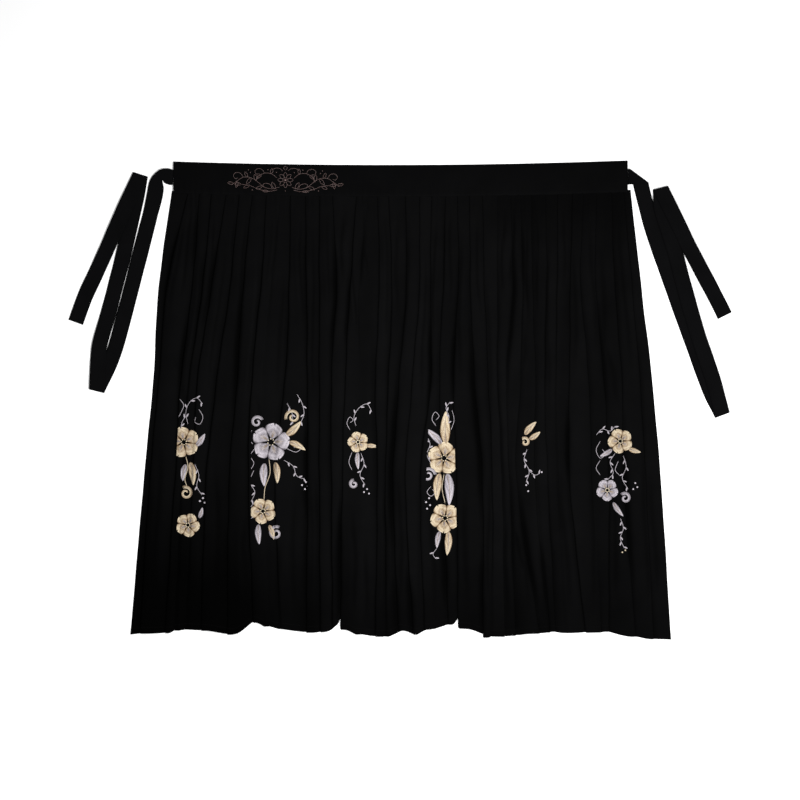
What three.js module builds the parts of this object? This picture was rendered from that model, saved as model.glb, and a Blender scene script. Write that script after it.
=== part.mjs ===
// A long black wrap skirt with a plain waistband and two ties, opened out and laid flat on a surface.
// Millimetres, +X to the skirt's right as it is seen, +Y from the hem to the waistband, +Z up from the surface.
import * as THREE from "three";

// Cloth sizes
const WALL = 1; // skirt cloth
const LAYER_STEP = 1.5; // from one layer of a fold to the next, wall and air
const FOLD_RADIUS = LAYER_STEP / 2;
const FOLD_HEIGHT = 2 * LAYER_STEP; // a fold has three layers
const SEAM_GAP = 0.3; // between two pieces that are sewn together

// Waistband
const BAND = {
  left: -453,
  right: 455,
  middle: 438, // height of its centre line at mid length
  height: 64,
  rise: 8, // how far the ends stand above the middle
  tilt: 2, // how far the right end stands above the left one
  topThickness: 2.6,
  seamThickness: 4,
  edgeRadius: 1.2,
  sections: 24,
};

// Ties: a double strip of cloth, pressed flat
const TIE = { width: 31, wall: 1, step: 1.4, rootDrop: 1 };

// Skirt cloth. The folds run down from the waistband. Each row is one fold, from left to right:
// - waist, hip, knee, calf, hem: where its outer edge lies across the skirt, at five heights
// - lean: 1 where the outer edge points right, -1 where it points left
// - top, middle, low: how deep it is tucked near the waist, half way and near the hem, from 1, full,
//   to 0, just standing; below 0 the fold has opened into a soft step
// - end: height of the hem at the outer edge; step: how much higher the hem of the cloth beside it is
// - notch: how much higher the tucked layers end
const HEIGHTS = { waist: 0, hip: 0.21, knee: 0.42, calf: 0.65, hem: 1 }; // share of the skirt's length
const DEPTH_HEIGHTS = [0, 0.42, 1];
const COLUMNS = "waist hip knee calf hem lean top middle low end step notch".split(" ");
const FOLDS = [
  [-423, -464, -481, -499, -519, -1, 0.8, 0.6, 0.5, -467, 0, 2],
  [-401, -414, -437, -449, -469, -1, 1, 1, 0.7, -466, 0, 2],
  [-377, -393, -419, -433, -445, -1, 0.8, -0.6, -1, -461, 0, 0],
  [-347, -375, -403, -413, -423, -1, 1, 0.2, -1, -459, 0, 0],
  [-321, -339, -365, -387, -397, -1, 0.7, 1, 0.6, -461, 0, 2],
  [-295, -313, -325, -341, -345, -1, 0.8, 1, 0.8, -469, 0, 2],
  [-267, -277, -295, -303, -293, -1, 1, 0.8, 0.9, -445, 2, 2],
  [-239, -257, -275, -279, -269, 1, 1, -0.2, -1, -453, 0, 0],
  [-219, -221, -229, -249, -237, -1, 0.7, 1, -0.6, -458, 0, 0],
  [-189, -187, -185, -185, -187, -1, 1, 1, 1, -465, 0, 2],
  [-161, -161, -161, -161, -159, -1, 0.9, 1, 0.4, -464, 0, 2],
  [-135, -127, -137, -137, -135, -1, 0.7, 1, 1, -451, -10, 0],
  [-87, -99, -109, -115, -119, -1, 1, 1, 1, -459, 19, 8],
  [-63, -82, -81, -79, -85, 1, 0.9, -0.6, -1, -469, 0, 0],
  [-45, -41, -49, -45, -49, -1, 0.7, 0.8, 0.9, -473, 0, 2],
  [-23, -16, -23, -29, -25, -1, 0.9, 0.8, -0.8, -473, 0, 0],
  [11, 13, -1, -14, -3, -1, 0.6, 1, 1, -461, -5, 4],
  [39, 39, 25, 11, 27, -1, 0.9, 1, 0.6, -469, 0, 2],
  [63, 61, 62, 41, 49, -1, 0.8, 1, 0.6, -459, -2, 2],
  [91, 87, 79, 85, 97, -1, 0.8, 1, 1, -449, 0, 2],
  [115, 117, 107, 113, 116, -1, 1, 0.9, 1, -457, 20, 12],
  [139, 141, 149, 165, 166, -1, 0.8, 1, 1, -475, 6, 2],
  [165, 169, 177, 185, 187, -1, 0.8, 0.5, -1, -473, 0, 0],
  [195, 195, 195, 204, 209, 1, 0.7, 0.8, 0.3, -473, 0, 2],
  [221, 225, 213, 219, 231, 1, 1, 1, 0.9, -471, 0, 2],
  [241, 245, 241, 233, 279, 1, 0.8, 0.4, 0.9, -467, 0, 2],
  [263, 265, 271, 269, 295, 1, 0.9, 0.3, -1, -465, 0, 0],
  [291, 293, 289, 295, 311, 1, 1, 1, 1, -463, -2, 2],
  [315, 315, 313, 317, 335, -1, 0.7, -0.5, -1, -466, 0, 0],
  [345, 341, 339, 339, 371, -1, 0.7, 0.8, 0.6, -465, 0, 2],
  [367, 361, 377, 383, 395, 1, 0.7, 0.5, -1, -465, 0, 0],
  [393, 391, 407, 417, 417, 1, 0.7, 0.9, 0.8, -463, -1, 2],
  [423, 429, 443, 447, 471, 1, 0.6, 0.6, 0.6, -473, 0, 2],
  [447, 463, 479, 491, 507, 1, 0.7, 0.5, 0.5, -478, 0, 1],
].map((row) => Object.fromEntries(COLUMNS.map((name, i) => [name, row[i]])));
const LEFT_EDGE = { waist: -456, hip: -482, knee: -493, calf: -512, hem: -539, end: -469 };
const RIGHT_EDGE = { waist: 461, hip: 482, knee: 504, calf: 522, hem: 542, end: -479 };
const FULLNESS = { chain: 0.5, shared: 0.36, open: 0.2 }; // share of the room beside a fold that it takes
const EDGE_CLEARANCE = 2.5; // from a fold's outer edge to where the cloth beside it starts to rise
const TUCK_CLEARANCE = 1.5; // from the tucked layers to where the cloth above them starts to fall
const STANDING = 0.25; // a fold that is tucked or opened by less than this just stands
const ROWS = [0, 0.08, 0.2, 0.33, 0.47, 0.62, 0.78, 0.92, 1]; // sections down the skirt, as shares of its length

// The skirt cloth is three widths, sewn together inside two deep folds.
const PANELS = [
  { name: "panel_left", firstFold: 0, lastFold: 12 },
  { name: "panel_centre", firstFold: 12, lastFold: 20 },
  { name: "panel_right", firstFold: 20, lastFold: 33 },
];

// Each tie's centre line from its root on the waistband's end: across, up, layer (0 lies on the surface, and each
// higher one on the layer below it) and whether the tie is folded over there.
const TIE_COLUMNS = ["across", "up", "layer", "folded"];
const LEFT_TIE = [
  [0, 0, 1, false],
  [-8, 0, 1, false],
  [-33, 4, 1, true],
  [-46, -70, 0, false],
  [-69.7, -166, 0, false],
  [-94.5, -262, 0, false],
  [-121, -356, 0, false],
  [-153, -425.5, 0, true],
  [-149, -346, 1, false],
  [-145, -325, 1, false],
  [-128.9, -268, 0, false],
  [-113, -206, 0, false],
  [-102.6, -166, 0, false],
  [-74.5, -44, 0, false],
  [-65.8, 6, 0, true],
  [-90.5, -46, 1, false],
  [-132.5, -142, 1, false],
  [-154.4, -190, 0, false],
  [-176.5, -238, 0, false],
  [-195.1, -288.8, 0, false],
];
const RIGHT_TIE = [
  [0, 0, 1, false],
  [1.5, 0, 1, false],
  [22.5, 1.5, 1, true],
  [33.7, -46, 0, false],
  [46.9, -96, 0, false],
  [62.6, -144, 0, false],
  [96.7, -240, 0, false],
  [131.2, -336, 0, false],
  [167, -432, 0, false],
  [189, -475.5, 0, true],
  [171, -408, 1, false],
  [139, -312, 1, false],
  [111.6, -216, 1, false],
  [101.2, -176, 1, false],
  [93, -144, 1, false],
  [77.5, -96, 1, false],
  [66.5, -58, 1, false],
  [65.5, -22.8, 1, true],
  [101.2, -96, 2, false],
  [118.5, -132, 2, false],
  [139, -172, 2, false],
  [179.5, -248, 0, false],
  [194.2, -277.5, 0, false],
];

// Closes a body from rings of points: side faces between one ring and the next, and the two end faces, where a
// ring's points run along one side of the wall and back along the other. Both sides are split along the same
// diagonals, so that the wall keeps its thickness where it twists.
function closedBody(rings) {
  const size = rings[0].length;
  const positions = rings.flat().flatMap((p) => [p.x, p.y, p.z]);
  const faces = [];
  const quad = (a, b, c, d) => faces.push(a, b, c, a, c, d);
  for (let r = 0; r + 1 < rings.length; r++) {
    for (let i = 0; i < size; i++) {
      const next = (i + 1) % size;
      const corners = [r * size + i, (r + 1) * size + i, (r + 1) * size + next, r * size + next];
      if (i >= size / 2) corners.push(corners.shift());
      quad(...corners);
    }
  }
  const lastRing = (rings.length - 1) * size;
  for (let i = 0; i + 1 < size / 2; i++) {
    quad(i, i + 1, size - 2 - i, size - 1 - i);
    quad(lastRing + i, lastRing + size - 1 - i, lastRing + size - 2 - i, lastRing + i + 1);
  }
  const geometry = new THREE.BufferGeometry();
  geometry.setAttribute("position", new THREE.Float32BufferAttribute(positions, 3));
  geometry.setIndex(faces);
  geometry.computeVertexNormals();
  return geometry;
}

// A smooth curve through values at rising places, read at one place.
function smoothValue(places, values, at) {
  const last = places.length - 1;
  const slope = (i) => {
    const before = Math.max(i - 1, 0);
    const after = Math.min(i + 1, last);
    return (values[after] - values[before]) / (places[after] - places[before]);
  };
  let i = 0;
  while (i < last - 1 && at > places[i + 1]) i++;
  const span = places[i + 1] - places[i];
  const u = (at - places[i]) / span;
  const rise = values[i + 1] - values[i];
  const easeIn = u * (1 - u) ** 2 * (slope(i) * span);
  const easeOut = u * u * (u - 1) * (slope(i + 1) * span);
  return values[i] + rise * u * u * (3 - 2 * u) + easeIn + easeOut;
}

// Height of a line that runs along the waistband, offset from its centre line.
function bandLine(x, offset) {
  const middle = (BAND.left + BAND.right) / 2;
  const u = (x - middle) / (BAND.right - middle);
  return BAND.middle + offset + BAND.rise * u * u + (BAND.tilt / 2) * u;
}

function makeWaistband() {
  const { height, topThickness, seamThickness, edgeRadius, sections } = BAND;
  const half = height / 2;
  const soft = edgeRadius / 2;
  const under = [
    [-half, 0],
    [-half / 3, 0],
    [half / 3, 0],
    [half, 0],
  ];
  const over = [
    [-half, seamThickness - edgeRadius],
    [-half + edgeRadius, seamThickness],
    [half - edgeRadius - soft, topThickness],
    [half, topThickness - edgeRadius],
  ];
  const rings = [];
  for (let s = 0; s <= sections; s++) {
    const x = BAND.left + ((BAND.right - BAND.left) * s) / sections;
    const at = ([offset, z]) => new THREE.Vector3(x, bandLine(x, offset), z);
    rings.push([...over.map(at), ...under.toReversed().map(at)]);
  }
  return closedBody(rings);
}

// Where a fold or an edge lies across the skirt at a share of its length.
const acrossAt = (row, share) =>
  smoothValue(
    Object.values(HEIGHTS),
    Object.keys(HEIGHTS).map((name) => row[name]),
    share,
  );

// One fold's middle line at a share of the skirt's length, from the side that it lies on to the side that it
// covers, and back: points of across, height above the lowest layer, and hem.
function foldLine(index, share) {
  const fold = FOLDS[index];
  const { lean, end, step, notch } = fold;
  const x = acrossAt(fold, share);
  const beside = (k) => acrossAt(FOLDS[k] ?? (k < 0 ? LEFT_EDGE : RIGHT_EDGE), share);
  const coveredRoom = Math.abs(x - beside(index - lean));
  const openRoom = Math.abs(beside(index + lean) - x);
  const sharesRoom = FOLDS[index - lean] && FOLDS[index - lean].lean !== lean;
  const given = smoothValue(DEPTH_HEIGHTS, [fold.top, fold.middle, fold.low], share);
  const depth = Math.abs(given) < STANDING ? 0 : given;
  const covered = sharesRoom ? FULLNESS.shared : FULLNESS.chain;
  const tuck = depth > 0 ? depth * covered * coveredRoom : depth * FULLNESS.open * openRoom;
  const height = FOLD_HEIGHT * Math.min(1, 1.14 + 0.7 * depth);

  const closed = THREE.MathUtils.clamp(tuck / (3 * FOLD_RADIUS), 0, 1);
  const bend = tuck > 0 ? FOLD_RADIUS : Math.max(FOLD_RADIUS, -tuck / 3);
  const back = tuck > 0 ? -Math.min(FOLD_RADIUS, tuck / 3) : -tuck / 3;
  const level = (open, shut) => height * THREE.MathUtils.lerp(open, shut, closed);
  const beyond = Math.max(EDGE_CLEARANCE, bend - tuck + FOLD_RADIUS);
  const tucked = end + Math.max(step, 0) + notch;
  const line = [
    [-Math.max(tuck, 0) - TUCK_CLEARANCE - bend, height, end],
    [-bend, height, end],
    [0, level(0.8, 0.75), end],
    [back, level(0.6, 0.5), tucked],
    [-tuck - back, level(0.4, 0.5), tucked],
    [-tuck, level(0.2, 0.25), tucked],
    [-tuck + bend, 0, tucked],
    [beyond, 0, end + step],
  ].map(([across, up, hem]) => ({ x: x + lean * across, z: up, hem }));
  return lean > 0 ? line : line.reverse();
}

// The middle line of a panel at a share of the skirt's length. A panel that is sewn to the next one ends on the
// lowest layer of the fold that holds the seam.
function panelLine({ firstFold, lastFold }, share) {
  const line = [];
  for (let k = firstFold; k <= lastFold; k++) line.push(...foldLine(k, share));
  const seamAt = (index) => {
    const fold = foldLine(index, share);
    const [lowest, corner] = FOLDS[index].lean > 0 ? [7, 6] : [0, 1];
    const x = (fold[lowest].x + fold[corner].x) / 2;
    return { x, z: 0, hem: fold[corner].hem };
  };
  if (firstFold === 0) {
    line.unshift({ x: acrossAt(LEFT_EDGE, share), z: 0, hem: LEFT_EDGE.end });
  } else {
    const seam = seamAt(firstFold);
    line[0] = { ...seam, x: seam.x + SEAM_GAP / 2 };
  }
  if (lastFold === FOLDS.length - 1) {
    line.push({ x: acrossAt(RIGHT_EDGE, share), z: 0, hem: RIGHT_EDGE.end });
  } else {
    const seam = seamAt(lastFold);
    line.length -= 7;
    line.push({ ...seam, x: seam.x - SEAM_GAP / 2 });
  }
  return line;
}

// Both sides of a wall whose middle line runs through points in one upright plane.
function wallSides(line, wall) {
  const sides = line.map((p, i) => {
    const before = line[Math.max(i - 1, 0)];
    const after = line[Math.min(i + 1, line.length - 1)];
    const into = new THREE.Vector2(p.x - before.x, p.z - before.z).normalize();
    const out = new THREE.Vector2(after.x - p.x, after.z - p.z).normalize();
    const normalIn = new THREE.Vector2(-into.y, into.x);
    const normalOut = new THREE.Vector2(-out.y, out.x);
    const mitre = normalIn.clone().add(normalOut).normalize();
    const known = i === 0 ? normalOut : normalIn;
    if (i === 0 || i === line.length - 1) mitre.copy(known);
    return mitre.multiplyScalar(wall / 2 / mitre.dot(known));
  });
  return { line, sides };
}

function makePanel(panel) {
  const rings = ROWS.map((share) => {
    const { line, sides } = wallSides(panelLine(panel, share), WALL);
    const point = (p, side, sign) => {
      const top = bandLine(p.x, -BAND.height / 2 - SEAM_GAP);
      const y = THREE.MathUtils.lerp(top, p.hem, share);
      return new THREE.Vector3(p.x + sign * side.x, y, WALL / 2 + p.z + sign * side.y);
    };
    const upper = line.map((p, i) => point(p, sides[i], 1));
    const lower = line.map((p, i) => point(p, sides[i], -1));
    return [...upper, ...lower.reverse()];
  });
  return closedBody(rings);
}

// A tie as crosswise lines of its middle surface, edge to edge. At a fold the cloth goes round a small radius and
// lies back on itself, so that its two edges change sides.
function tieLines(rows) {
  const points = rows.map((row) => Object.fromEntries(TIE_COLUMNS.map((name, i) => [name, row[i]])));
  const heightOf = (layer) => TIE.wall / 2 + layer * TIE.step;
  const place = (p) => new THREE.Vector2(p.across, p.up);
  const direction = (from, to) => place(to).sub(place(from)).normalize();
  const lines = [];
  let side = 1;
  const addLine = (centre, along, z) => {
    const half = along.clone().multiplyScalar(side);
    lines.push({
      a: new THREE.Vector3(centre.x + half.x, centre.y + half.y, z),
      b: new THREE.Vector3(centre.x - half.x, centre.y - half.y, z),
    });
  };
  points.forEach((p, i) => {
    const before = points[Math.max(i - 1, 0)];
    const after = points[Math.min(i + 1, points.length - 1)];
    const centre = place(p);
    const into = i > 0 ? direction(before, p) : direction(p, after);
    const out = i + 1 < points.length ? direction(p, after) : into;
    if (!p.folded) {
      const along = into.clone().add(out).normalize();
      const across = new THREE.Vector2(-along.y, along.x).multiplyScalar(TIE.width / 2);
      addLine(centre, across, heightOf(p.layer));
      return;
    }
    const crease = into.clone().add(out).normalize();
    const cross = into.x * crease.y - into.y * crease.x;
    crease.multiplyScalar(TIE.width / 2 / cross);
    const outward = into.clone().sub(out).normalize().multiplyScalar(TIE.step / 2);
    const [low, high] = [heightOf(p.layer), heightOf(after.layer)];
    addLine(centre, crease, low);
    addLine(centre.clone().add(outward), crease, (low + high) / 2);
    addLine(centre, crease, high);
    side = -side;
  });
  return lines;
}

function makeTie(rows) {
  const lines = tieLines(rows);
  const middleOf = (line) => line.a.clone().add(line.b).multiplyScalar(0.5);
  const faceNormal = (from, to) => {
    const along = middleOf(to).sub(middleOf(from));
    const across = from.b.clone().sub(from.a).add(to.b).sub(to.a);
    return along.cross(across).normalize();
  };
  const rings = lines.map((line, i) => {
    const normalIn = faceNormal(lines[Math.max(i - 1, 0)], lines[Math.max(i, 1)]);
    const normalOut = faceNormal(lines[Math.min(i, lines.length - 2)], lines[Math.min(i + 1, lines.length - 1)]);
    const mitre = normalIn.clone().add(normalOut).normalize();
    mitre.multiplyScalar(TIE.wall / 2 / mitre.dot(normalIn));
    const { a, b } = line;
    return [a.clone().add(mitre), b.clone().add(mitre), b.clone().sub(mitre), a.clone().sub(mitre)];
  });
  return closedBody(rings);
}

function clothMesh(name, geometry, colour) {
  const material = new THREE.MeshStandardMaterial({ color: colour, roughness: 0.9, metalness: 0 });
  const mesh = new THREE.Mesh(geometry, material);
  mesh.name = name;
  return mesh;
}

const skirt = new THREE.Group();
skirt.name = "skirt";
skirt.add(clothMesh("waistband", makeWaistband(), 0x101013));
for (const panel of PANELS) skirt.add(clothMesh(panel.name, makePanel(panel), 0x0c0c0e));

const ties = new THREE.Group();
const leftTie = clothMesh("tie_left", makeTie(LEFT_TIE), 0x101013);
leftTie.position.set(BAND.left - SEAM_GAP, bandLine(BAND.left, 0) - TIE.rootDrop, 0);
const rightTie = clothMesh("tie_right", makeTie(RIGHT_TIE), 0x101013);
rightTie.position.set(BAND.right + SEAM_GAP, bandLine(BAND.right, 0) - TIE.rootDrop, 0);
ties.add(leftTie, rightTie);
skirt.add(ties);

export default skirt;
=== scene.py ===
"""Dresses a long black wrap skirt that lies opened out on a pale floor.

Its parts are the gathered cloth, the band, the ties and the thread. Lengths in the tables are millimetres
in the frame's axes: +X across the skirt, +Y from the hem to the waistband, +Z up from the floor. Meshes are
in metres.
"""
import logging
from dataclasses import dataclass, field
from enum import Enum

import bpy
import bmesh
import numpy as np
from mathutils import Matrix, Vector


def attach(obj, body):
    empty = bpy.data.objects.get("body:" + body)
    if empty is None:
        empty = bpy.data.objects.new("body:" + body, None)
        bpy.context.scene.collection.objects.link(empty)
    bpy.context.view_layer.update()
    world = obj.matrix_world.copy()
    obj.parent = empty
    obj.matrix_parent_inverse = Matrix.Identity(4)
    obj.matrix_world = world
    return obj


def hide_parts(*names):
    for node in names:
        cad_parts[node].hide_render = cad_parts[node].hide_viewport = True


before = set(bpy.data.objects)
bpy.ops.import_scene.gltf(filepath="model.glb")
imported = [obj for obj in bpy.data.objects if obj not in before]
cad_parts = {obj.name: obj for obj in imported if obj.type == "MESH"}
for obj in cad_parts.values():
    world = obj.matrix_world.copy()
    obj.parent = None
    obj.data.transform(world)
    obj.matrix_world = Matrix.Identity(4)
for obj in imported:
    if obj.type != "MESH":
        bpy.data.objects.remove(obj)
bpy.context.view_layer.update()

LOG = logging.getLogger("skirt")
MM = 0.001
ROOT = "root"


def smooth_curve(places: np.ndarray, values: np.ndarray, at: np.ndarray) -> np.ndarray:
    """Reads a smooth curve of cubic pieces, each place's slope being that between its neighbours.

    Args:
        places: Rising places, shape (n,).
        values: Values at the places, shape (n,) or (n, k).
        at: Places to read, any shape.

    Returns:
        The values there, with the shape of at, and k as a last axis if values has one.
    """
    places = np.asarray(places, float)
    values = np.asarray(values, float)
    at = np.asarray(at, float)
    last = len(places) - 1
    before = np.maximum(np.arange(last + 1) - 1, 0)
    after = np.minimum(np.arange(last + 1) + 1, last)
    run = (places[after] - places[before]).reshape(-1, *[1] * (values.ndim - 1))
    slopes = (values[after] - values[before]) / run
    index = np.clip(np.searchsorted(places, at, side="right") - 1, 0, last - 1)
    span = places[index + 1] - places[index]
    u = (at - places[index]) / span
    if values.ndim > 1:
        u = u[..., None]
        span = span[..., None]
    rise = values[index + 1] - values[index]
    ease_in = u * (1 - u) ** 2 * slopes[index] * span
    ease_out = u * u * (u - 1) * slopes[index + 1] * span
    return values[index] + rise * u * u * (3 - 2 * u) + ease_in + ease_out


def soft_step(low: float, high: float, at: np.ndarray) -> np.ndarray:
    """Rises smoothly from 0 at low to 1 at high, as 3u² − 2u³."""
    u = np.clip((at - low) / (high - low), 0, 1)
    return u * u * (3 - 2 * u)


def bell(distance: np.ndarray, width: np.ndarray | float) -> np.ndarray:
    """Gives 1 at distance 0, and falls off as exp(−(distance / width)²)."""
    return np.exp(-((distance / width) ** 2))


def unit(vectors: np.ndarray) -> np.ndarray:
    """Gives vectors the length 1."""
    return vectors / np.linalg.norm(vectors, axis=-1, keepdims=True)


def ring_angles(count: int) -> np.ndarray:
    """Angles of the points of a ring, evenly round it."""
    return np.arange(count) / count * 2 * np.pi


def grid_faces(rows: int, columns: int, closed: bool = False) -> np.ndarray:
    """Lists the four-cornered faces of a grid of points that is numbered row by row.

    Args:
        rows: Number of rows.
        columns: Number of columns.
        closed: True if the last column joins the first one.

    Returns:
        Corner numbers, shape (faces, 4).
    """
    first = np.arange(rows - 1)[:, None] * columns
    column = np.arange(columns if closed else columns - 1)[None, :]
    following = (column + 1) % columns
    corners = [first + column, first + columns + column, first + columns + following, first + following]
    return np.stack([c.ravel() for c in corners], axis=1)


def surface_normals(grid: np.ndarray) -> np.ndarray:
    """Gives unit normals of a grid of points, from the cross product of its two directions.

    Args:
        grid: Points, shape (rows, columns, 3).

    Returns:
        Normals of the same shape, up where rows run down the picture and columns to the right.
    """
    down = np.gradient(grid, axis=0)
    across = np.gradient(grid, axis=1)
    normals = np.cross(down, across)
    return normals / np.maximum(np.linalg.norm(normals, axis=2, keepdims=True), 1e-12)


def path_lengths(points: np.ndarray) -> np.ndarray:
    """Gives the length from the start of a path to each of its points."""
    return np.append(0, np.cumsum(np.linalg.norm(np.diff(points, axis=0), axis=1)))


def developed(grid: np.ndarray) -> np.ndarray:
    """Gives each grid point's place on the flat cloth: the lengths from the start along its row and column.

    Args:
        grid: Points, shape (rows, columns, 3).

    Returns:
        The places, shape (rows, columns, 2).
    """
    across = np.linalg.norm(np.diff(grid, axis=1), axis=2)
    down = np.linalg.norm(np.diff(grid, axis=0), axis=2)
    u = np.pad(np.cumsum(across, axis=1), ((0, 0), (1, 0)))
    v = np.pad(np.cumsum(down, axis=0), ((1, 0), (0, 0)))
    return np.stack([u, v], axis=2)


@dataclass
class Form:
    """A closed surface: points in millimetres, faces as corner numbers, and values at the points."""

    points: np.ndarray
    faces: list[np.ndarray]
    cloth: np.ndarray | None = None
    values: dict[str, np.ndarray] = field(default_factory=dict)


def shell(grid: np.ndarray, wall: np.ndarray | float, values: dict[str, np.ndarray] | None = None) -> Form:
    """Makes a thin closed shell: the grid moved out and in by half the wall along its normals, and a rim.

    Args:
        grid: Middle surface, shape (rows, columns, 3).
        wall: Thickness, one number or an array of shape (rows, columns).
        values: Values at the grid's points, by name, each of shape (rows, columns).

    Returns:
        The shell, with each point's place on the flat cloth.
    """
    rows, columns = grid.shape[:2]
    half = np.broadcast_to(np.asarray(wall, float) / 2, (rows, columns))[..., None]
    normals = surface_normals(grid)
    faces_apart = [grid + normals * half, grid - normals * half]
    points = np.concatenate([face.reshape(-1, 3) for face in faces_apart])
    over = grid_faces(rows, columns)
    count = rows * columns
    under = over[:, ::-1] + count
    number = np.arange(count).reshape(rows, columns)
    around = np.concatenate([number[0], number[1:, -1], number[-1, -2::-1], number[-2:0:-1, 0]])
    onward = np.roll(around, -1)
    rim = np.stack([around, onward, onward + count, around + count], axis=1)
    cloth = np.tile(developed(grid).reshape(-1, 2), (2, 1))
    doubled = {name: np.tile(np.asarray(v, float).ravel(), 2) for name, v in (values or {}).items()}
    return Form(points, [over, under, rim], cloth, doubled)


def tube(rings: np.ndarray) -> Form:
    """Makes a closed body from rings of points: sides from ring to ring, and a flat face on each end.

    Args:
        rings: Points, shape (rings, points of a ring, 3), each ring clockwise as seen along the body.

    Returns:
        The body, with lengths along and around it as its place on the flat cloth.
    """
    count, size = rings.shape[:2]
    sides = grid_faces(count, size, closed=True)
    start = np.arange(size)[None, :]
    end = (start + (count - 1) * size)[:, ::-1]
    return Form(rings.reshape(-1, 3), [sides, start, end], developed(rings).reshape(-1, 2))


def join(forms: list[Form]) -> Form:
    """Puts several forms into one, with their points numbered on.

    Args:
        forms: The forms, which all have the same kinds of values.

    Returns:
        All of them as one form.
    """
    starts = np.cumsum([0] + [len(f.points) for f in forms])
    faces = [part + start for f, start in zip(forms, starts) for part in f.faces]
    names = forms[0].values.keys()
    values = {name: np.concatenate([f.values[name] for f in forms]) for name in names}
    cloth = np.concatenate([f.cloth for f in forms])
    return Form(np.concatenate([f.points for f in forms]), faces, cloth, values)


def put(name: str, data: bpy.types.ID) -> bpy.types.Object:
    """Puts a mesh, a lamp or a camera into the scene as an object.

    Args:
        name: The object's name.
        data: What it shows.

    Returns:
        The object, at the origin.
    """
    placed = bpy.data.objects.new(name, data)
    bpy.context.scene.collection.objects.link(placed)
    return placed


def make_piece(
    name: str, form: Form, material: bpy.types.Material, sharp: float | None = None
) -> bpy.types.Object:
    """Makes a mesh object at the origin from a form. No point lies below the floor.

    Its place on the flat cloth becomes the UV map, and its values become attributes of the points.

    Args:
        name: The object's name.
        form: The closed surface, in millimetres.
        material: Its material.
        sharp: Angle in radians above which an edge is drawn sharp, or None for a smooth piece.

    Returns:
        The object.
    """
    mesh = bpy.data.meshes.new(name)
    lists = [row for part in form.faces for row in part.tolist()]
    points = form.points * MM
    points[:, 2] = np.maximum(points[:, 2], 0)
    mesh.from_pydata(points.tolist(), [], lists)
    corners = np.empty(len(mesh.loops), np.int32)
    mesh.loops.foreach_get("vertex_index", corners)
    if form.cloth is not None:
        layer = mesh.uv_layers.new(name="cloth")
        layer.data.foreach_set("uv", (form.cloth[corners] * MM).astype(np.float32).ravel())
    for key, value in form.values.items():
        attribute = mesh.attributes.new(key, "FLOAT", "POINT")
        attribute.data.foreach_set("value", value.astype(np.float32))
    mesh.shade_smooth()
    if sharp is not None:
        mesh.set_sharp_from_angle(angle=sharp)
    mesh.materials.append(material)
    mesh.validate()
    return put(name, mesh)


class Link:
    """Adds shader nodes to one node tree and joins them."""

    def __init__(self, tree: bpy.types.NodeTree) -> None:
        """Keeps the tree."""
        self.tree = tree

    def add(self, kind: str, inputs: dict | None = None, **settings) -> bpy.types.Node:
        """Adds a node, sets its properties, and sets or joins its inputs.

        Args:
            kind: The node's type.
            inputs: Values or output sockets by the input's name or number.
            settings: Properties of the node.

        Returns:
            The node.
        """
        node = self.tree.nodes.new(kind)
        for key, value in settings.items():
            setattr(node, key, value)
        self.feed(node, inputs or {})
        return node

    def feed(self, node: bpy.types.Node, inputs: dict) -> None:
        """Sets a node's inputs to values, or joins them to output sockets.

        Args:
            node: The node.
            inputs: Values or output sockets by the input's name or number.
        """
        for key, value in inputs.items():
            if isinstance(value, bpy.types.NodeSocket):
                self.tree.links.new(value, node.inputs[key])
            else:
                node.inputs[key].default_value = value

    def math(
        self, operation: str, a: bpy.types.NodeSocket, b: bpy.types.NodeSocket | float = 0.0
    ) -> bpy.types.NodeSocket:
        """Adds one sum of two values, and gives its output."""
        return self.add("ShaderNodeMath", {0: a, 1: b}, operation=operation).outputs[0]

    def noise(self, place: bpy.types.NodeSocket, scale: float, detail: float = 2.0) -> bpy.types.NodeSocket:
        """Adds a noise over a place, and gives its value."""
        given = {"Vector": place, "Scale": scale, "Detail": detail}
        return self.add("ShaderNodeTexNoise", given).outputs[0]

    def mix(
        self,
        factor: bpy.types.NodeSocket,
        first: tuple[float, float, float],
        second: tuple[float, float, float],
    ) -> bpy.types.NodeSocket:
        """Mixes two colours: the first at 0 and the second at 1. Gives the mixed colour."""
        colours = {0: factor, 6: (*first, 1), 7: (*second, 1)}
        return self.add("ShaderNodeMix", colours, data_type="RGBA", clamp_factor=True).outputs[2]

    def bump(self, height: bpy.types.NodeSocket, strength: float, distance: float) -> bpy.types.NodeSocket:
        """Adds a bump of a height from 0 to 1, its distance in metres, and gives the normal."""
        heights = {"Strength": strength, "Distance": distance, "Height": height}
        return self.add("ShaderNodeBump", heights).outputs[0]

    def on_cloth(self, group: bpy.types.NodeTree, **given: float) -> bpy.types.Node:
        """Adds a node group that works on the place on the flat cloth.

        Args:
            group: The node group.
            given: Its other inputs by name.

        Returns:
            Its node.
        """
        cloth = self.add("ShaderNodeUVMap", uv_map="cloth")
        return self.add("ShaderNodeGroup", {"Cloth": cloth.outputs[0], **given}, node_tree=group)


def start_material(name: str) -> tuple[bpy.types.Material, Link, bpy.types.Node]:
    """Starts a material.

    Args:
        name: The material's name.

    Returns:
        The material, its tree to add to, and its Principled BSDF.
    """
    material = bpy.data.materials.new(name)
    material.use_nodes = True
    return material, Link(material.node_tree), material.node_tree.nodes["Principled BSDF"]


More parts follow.
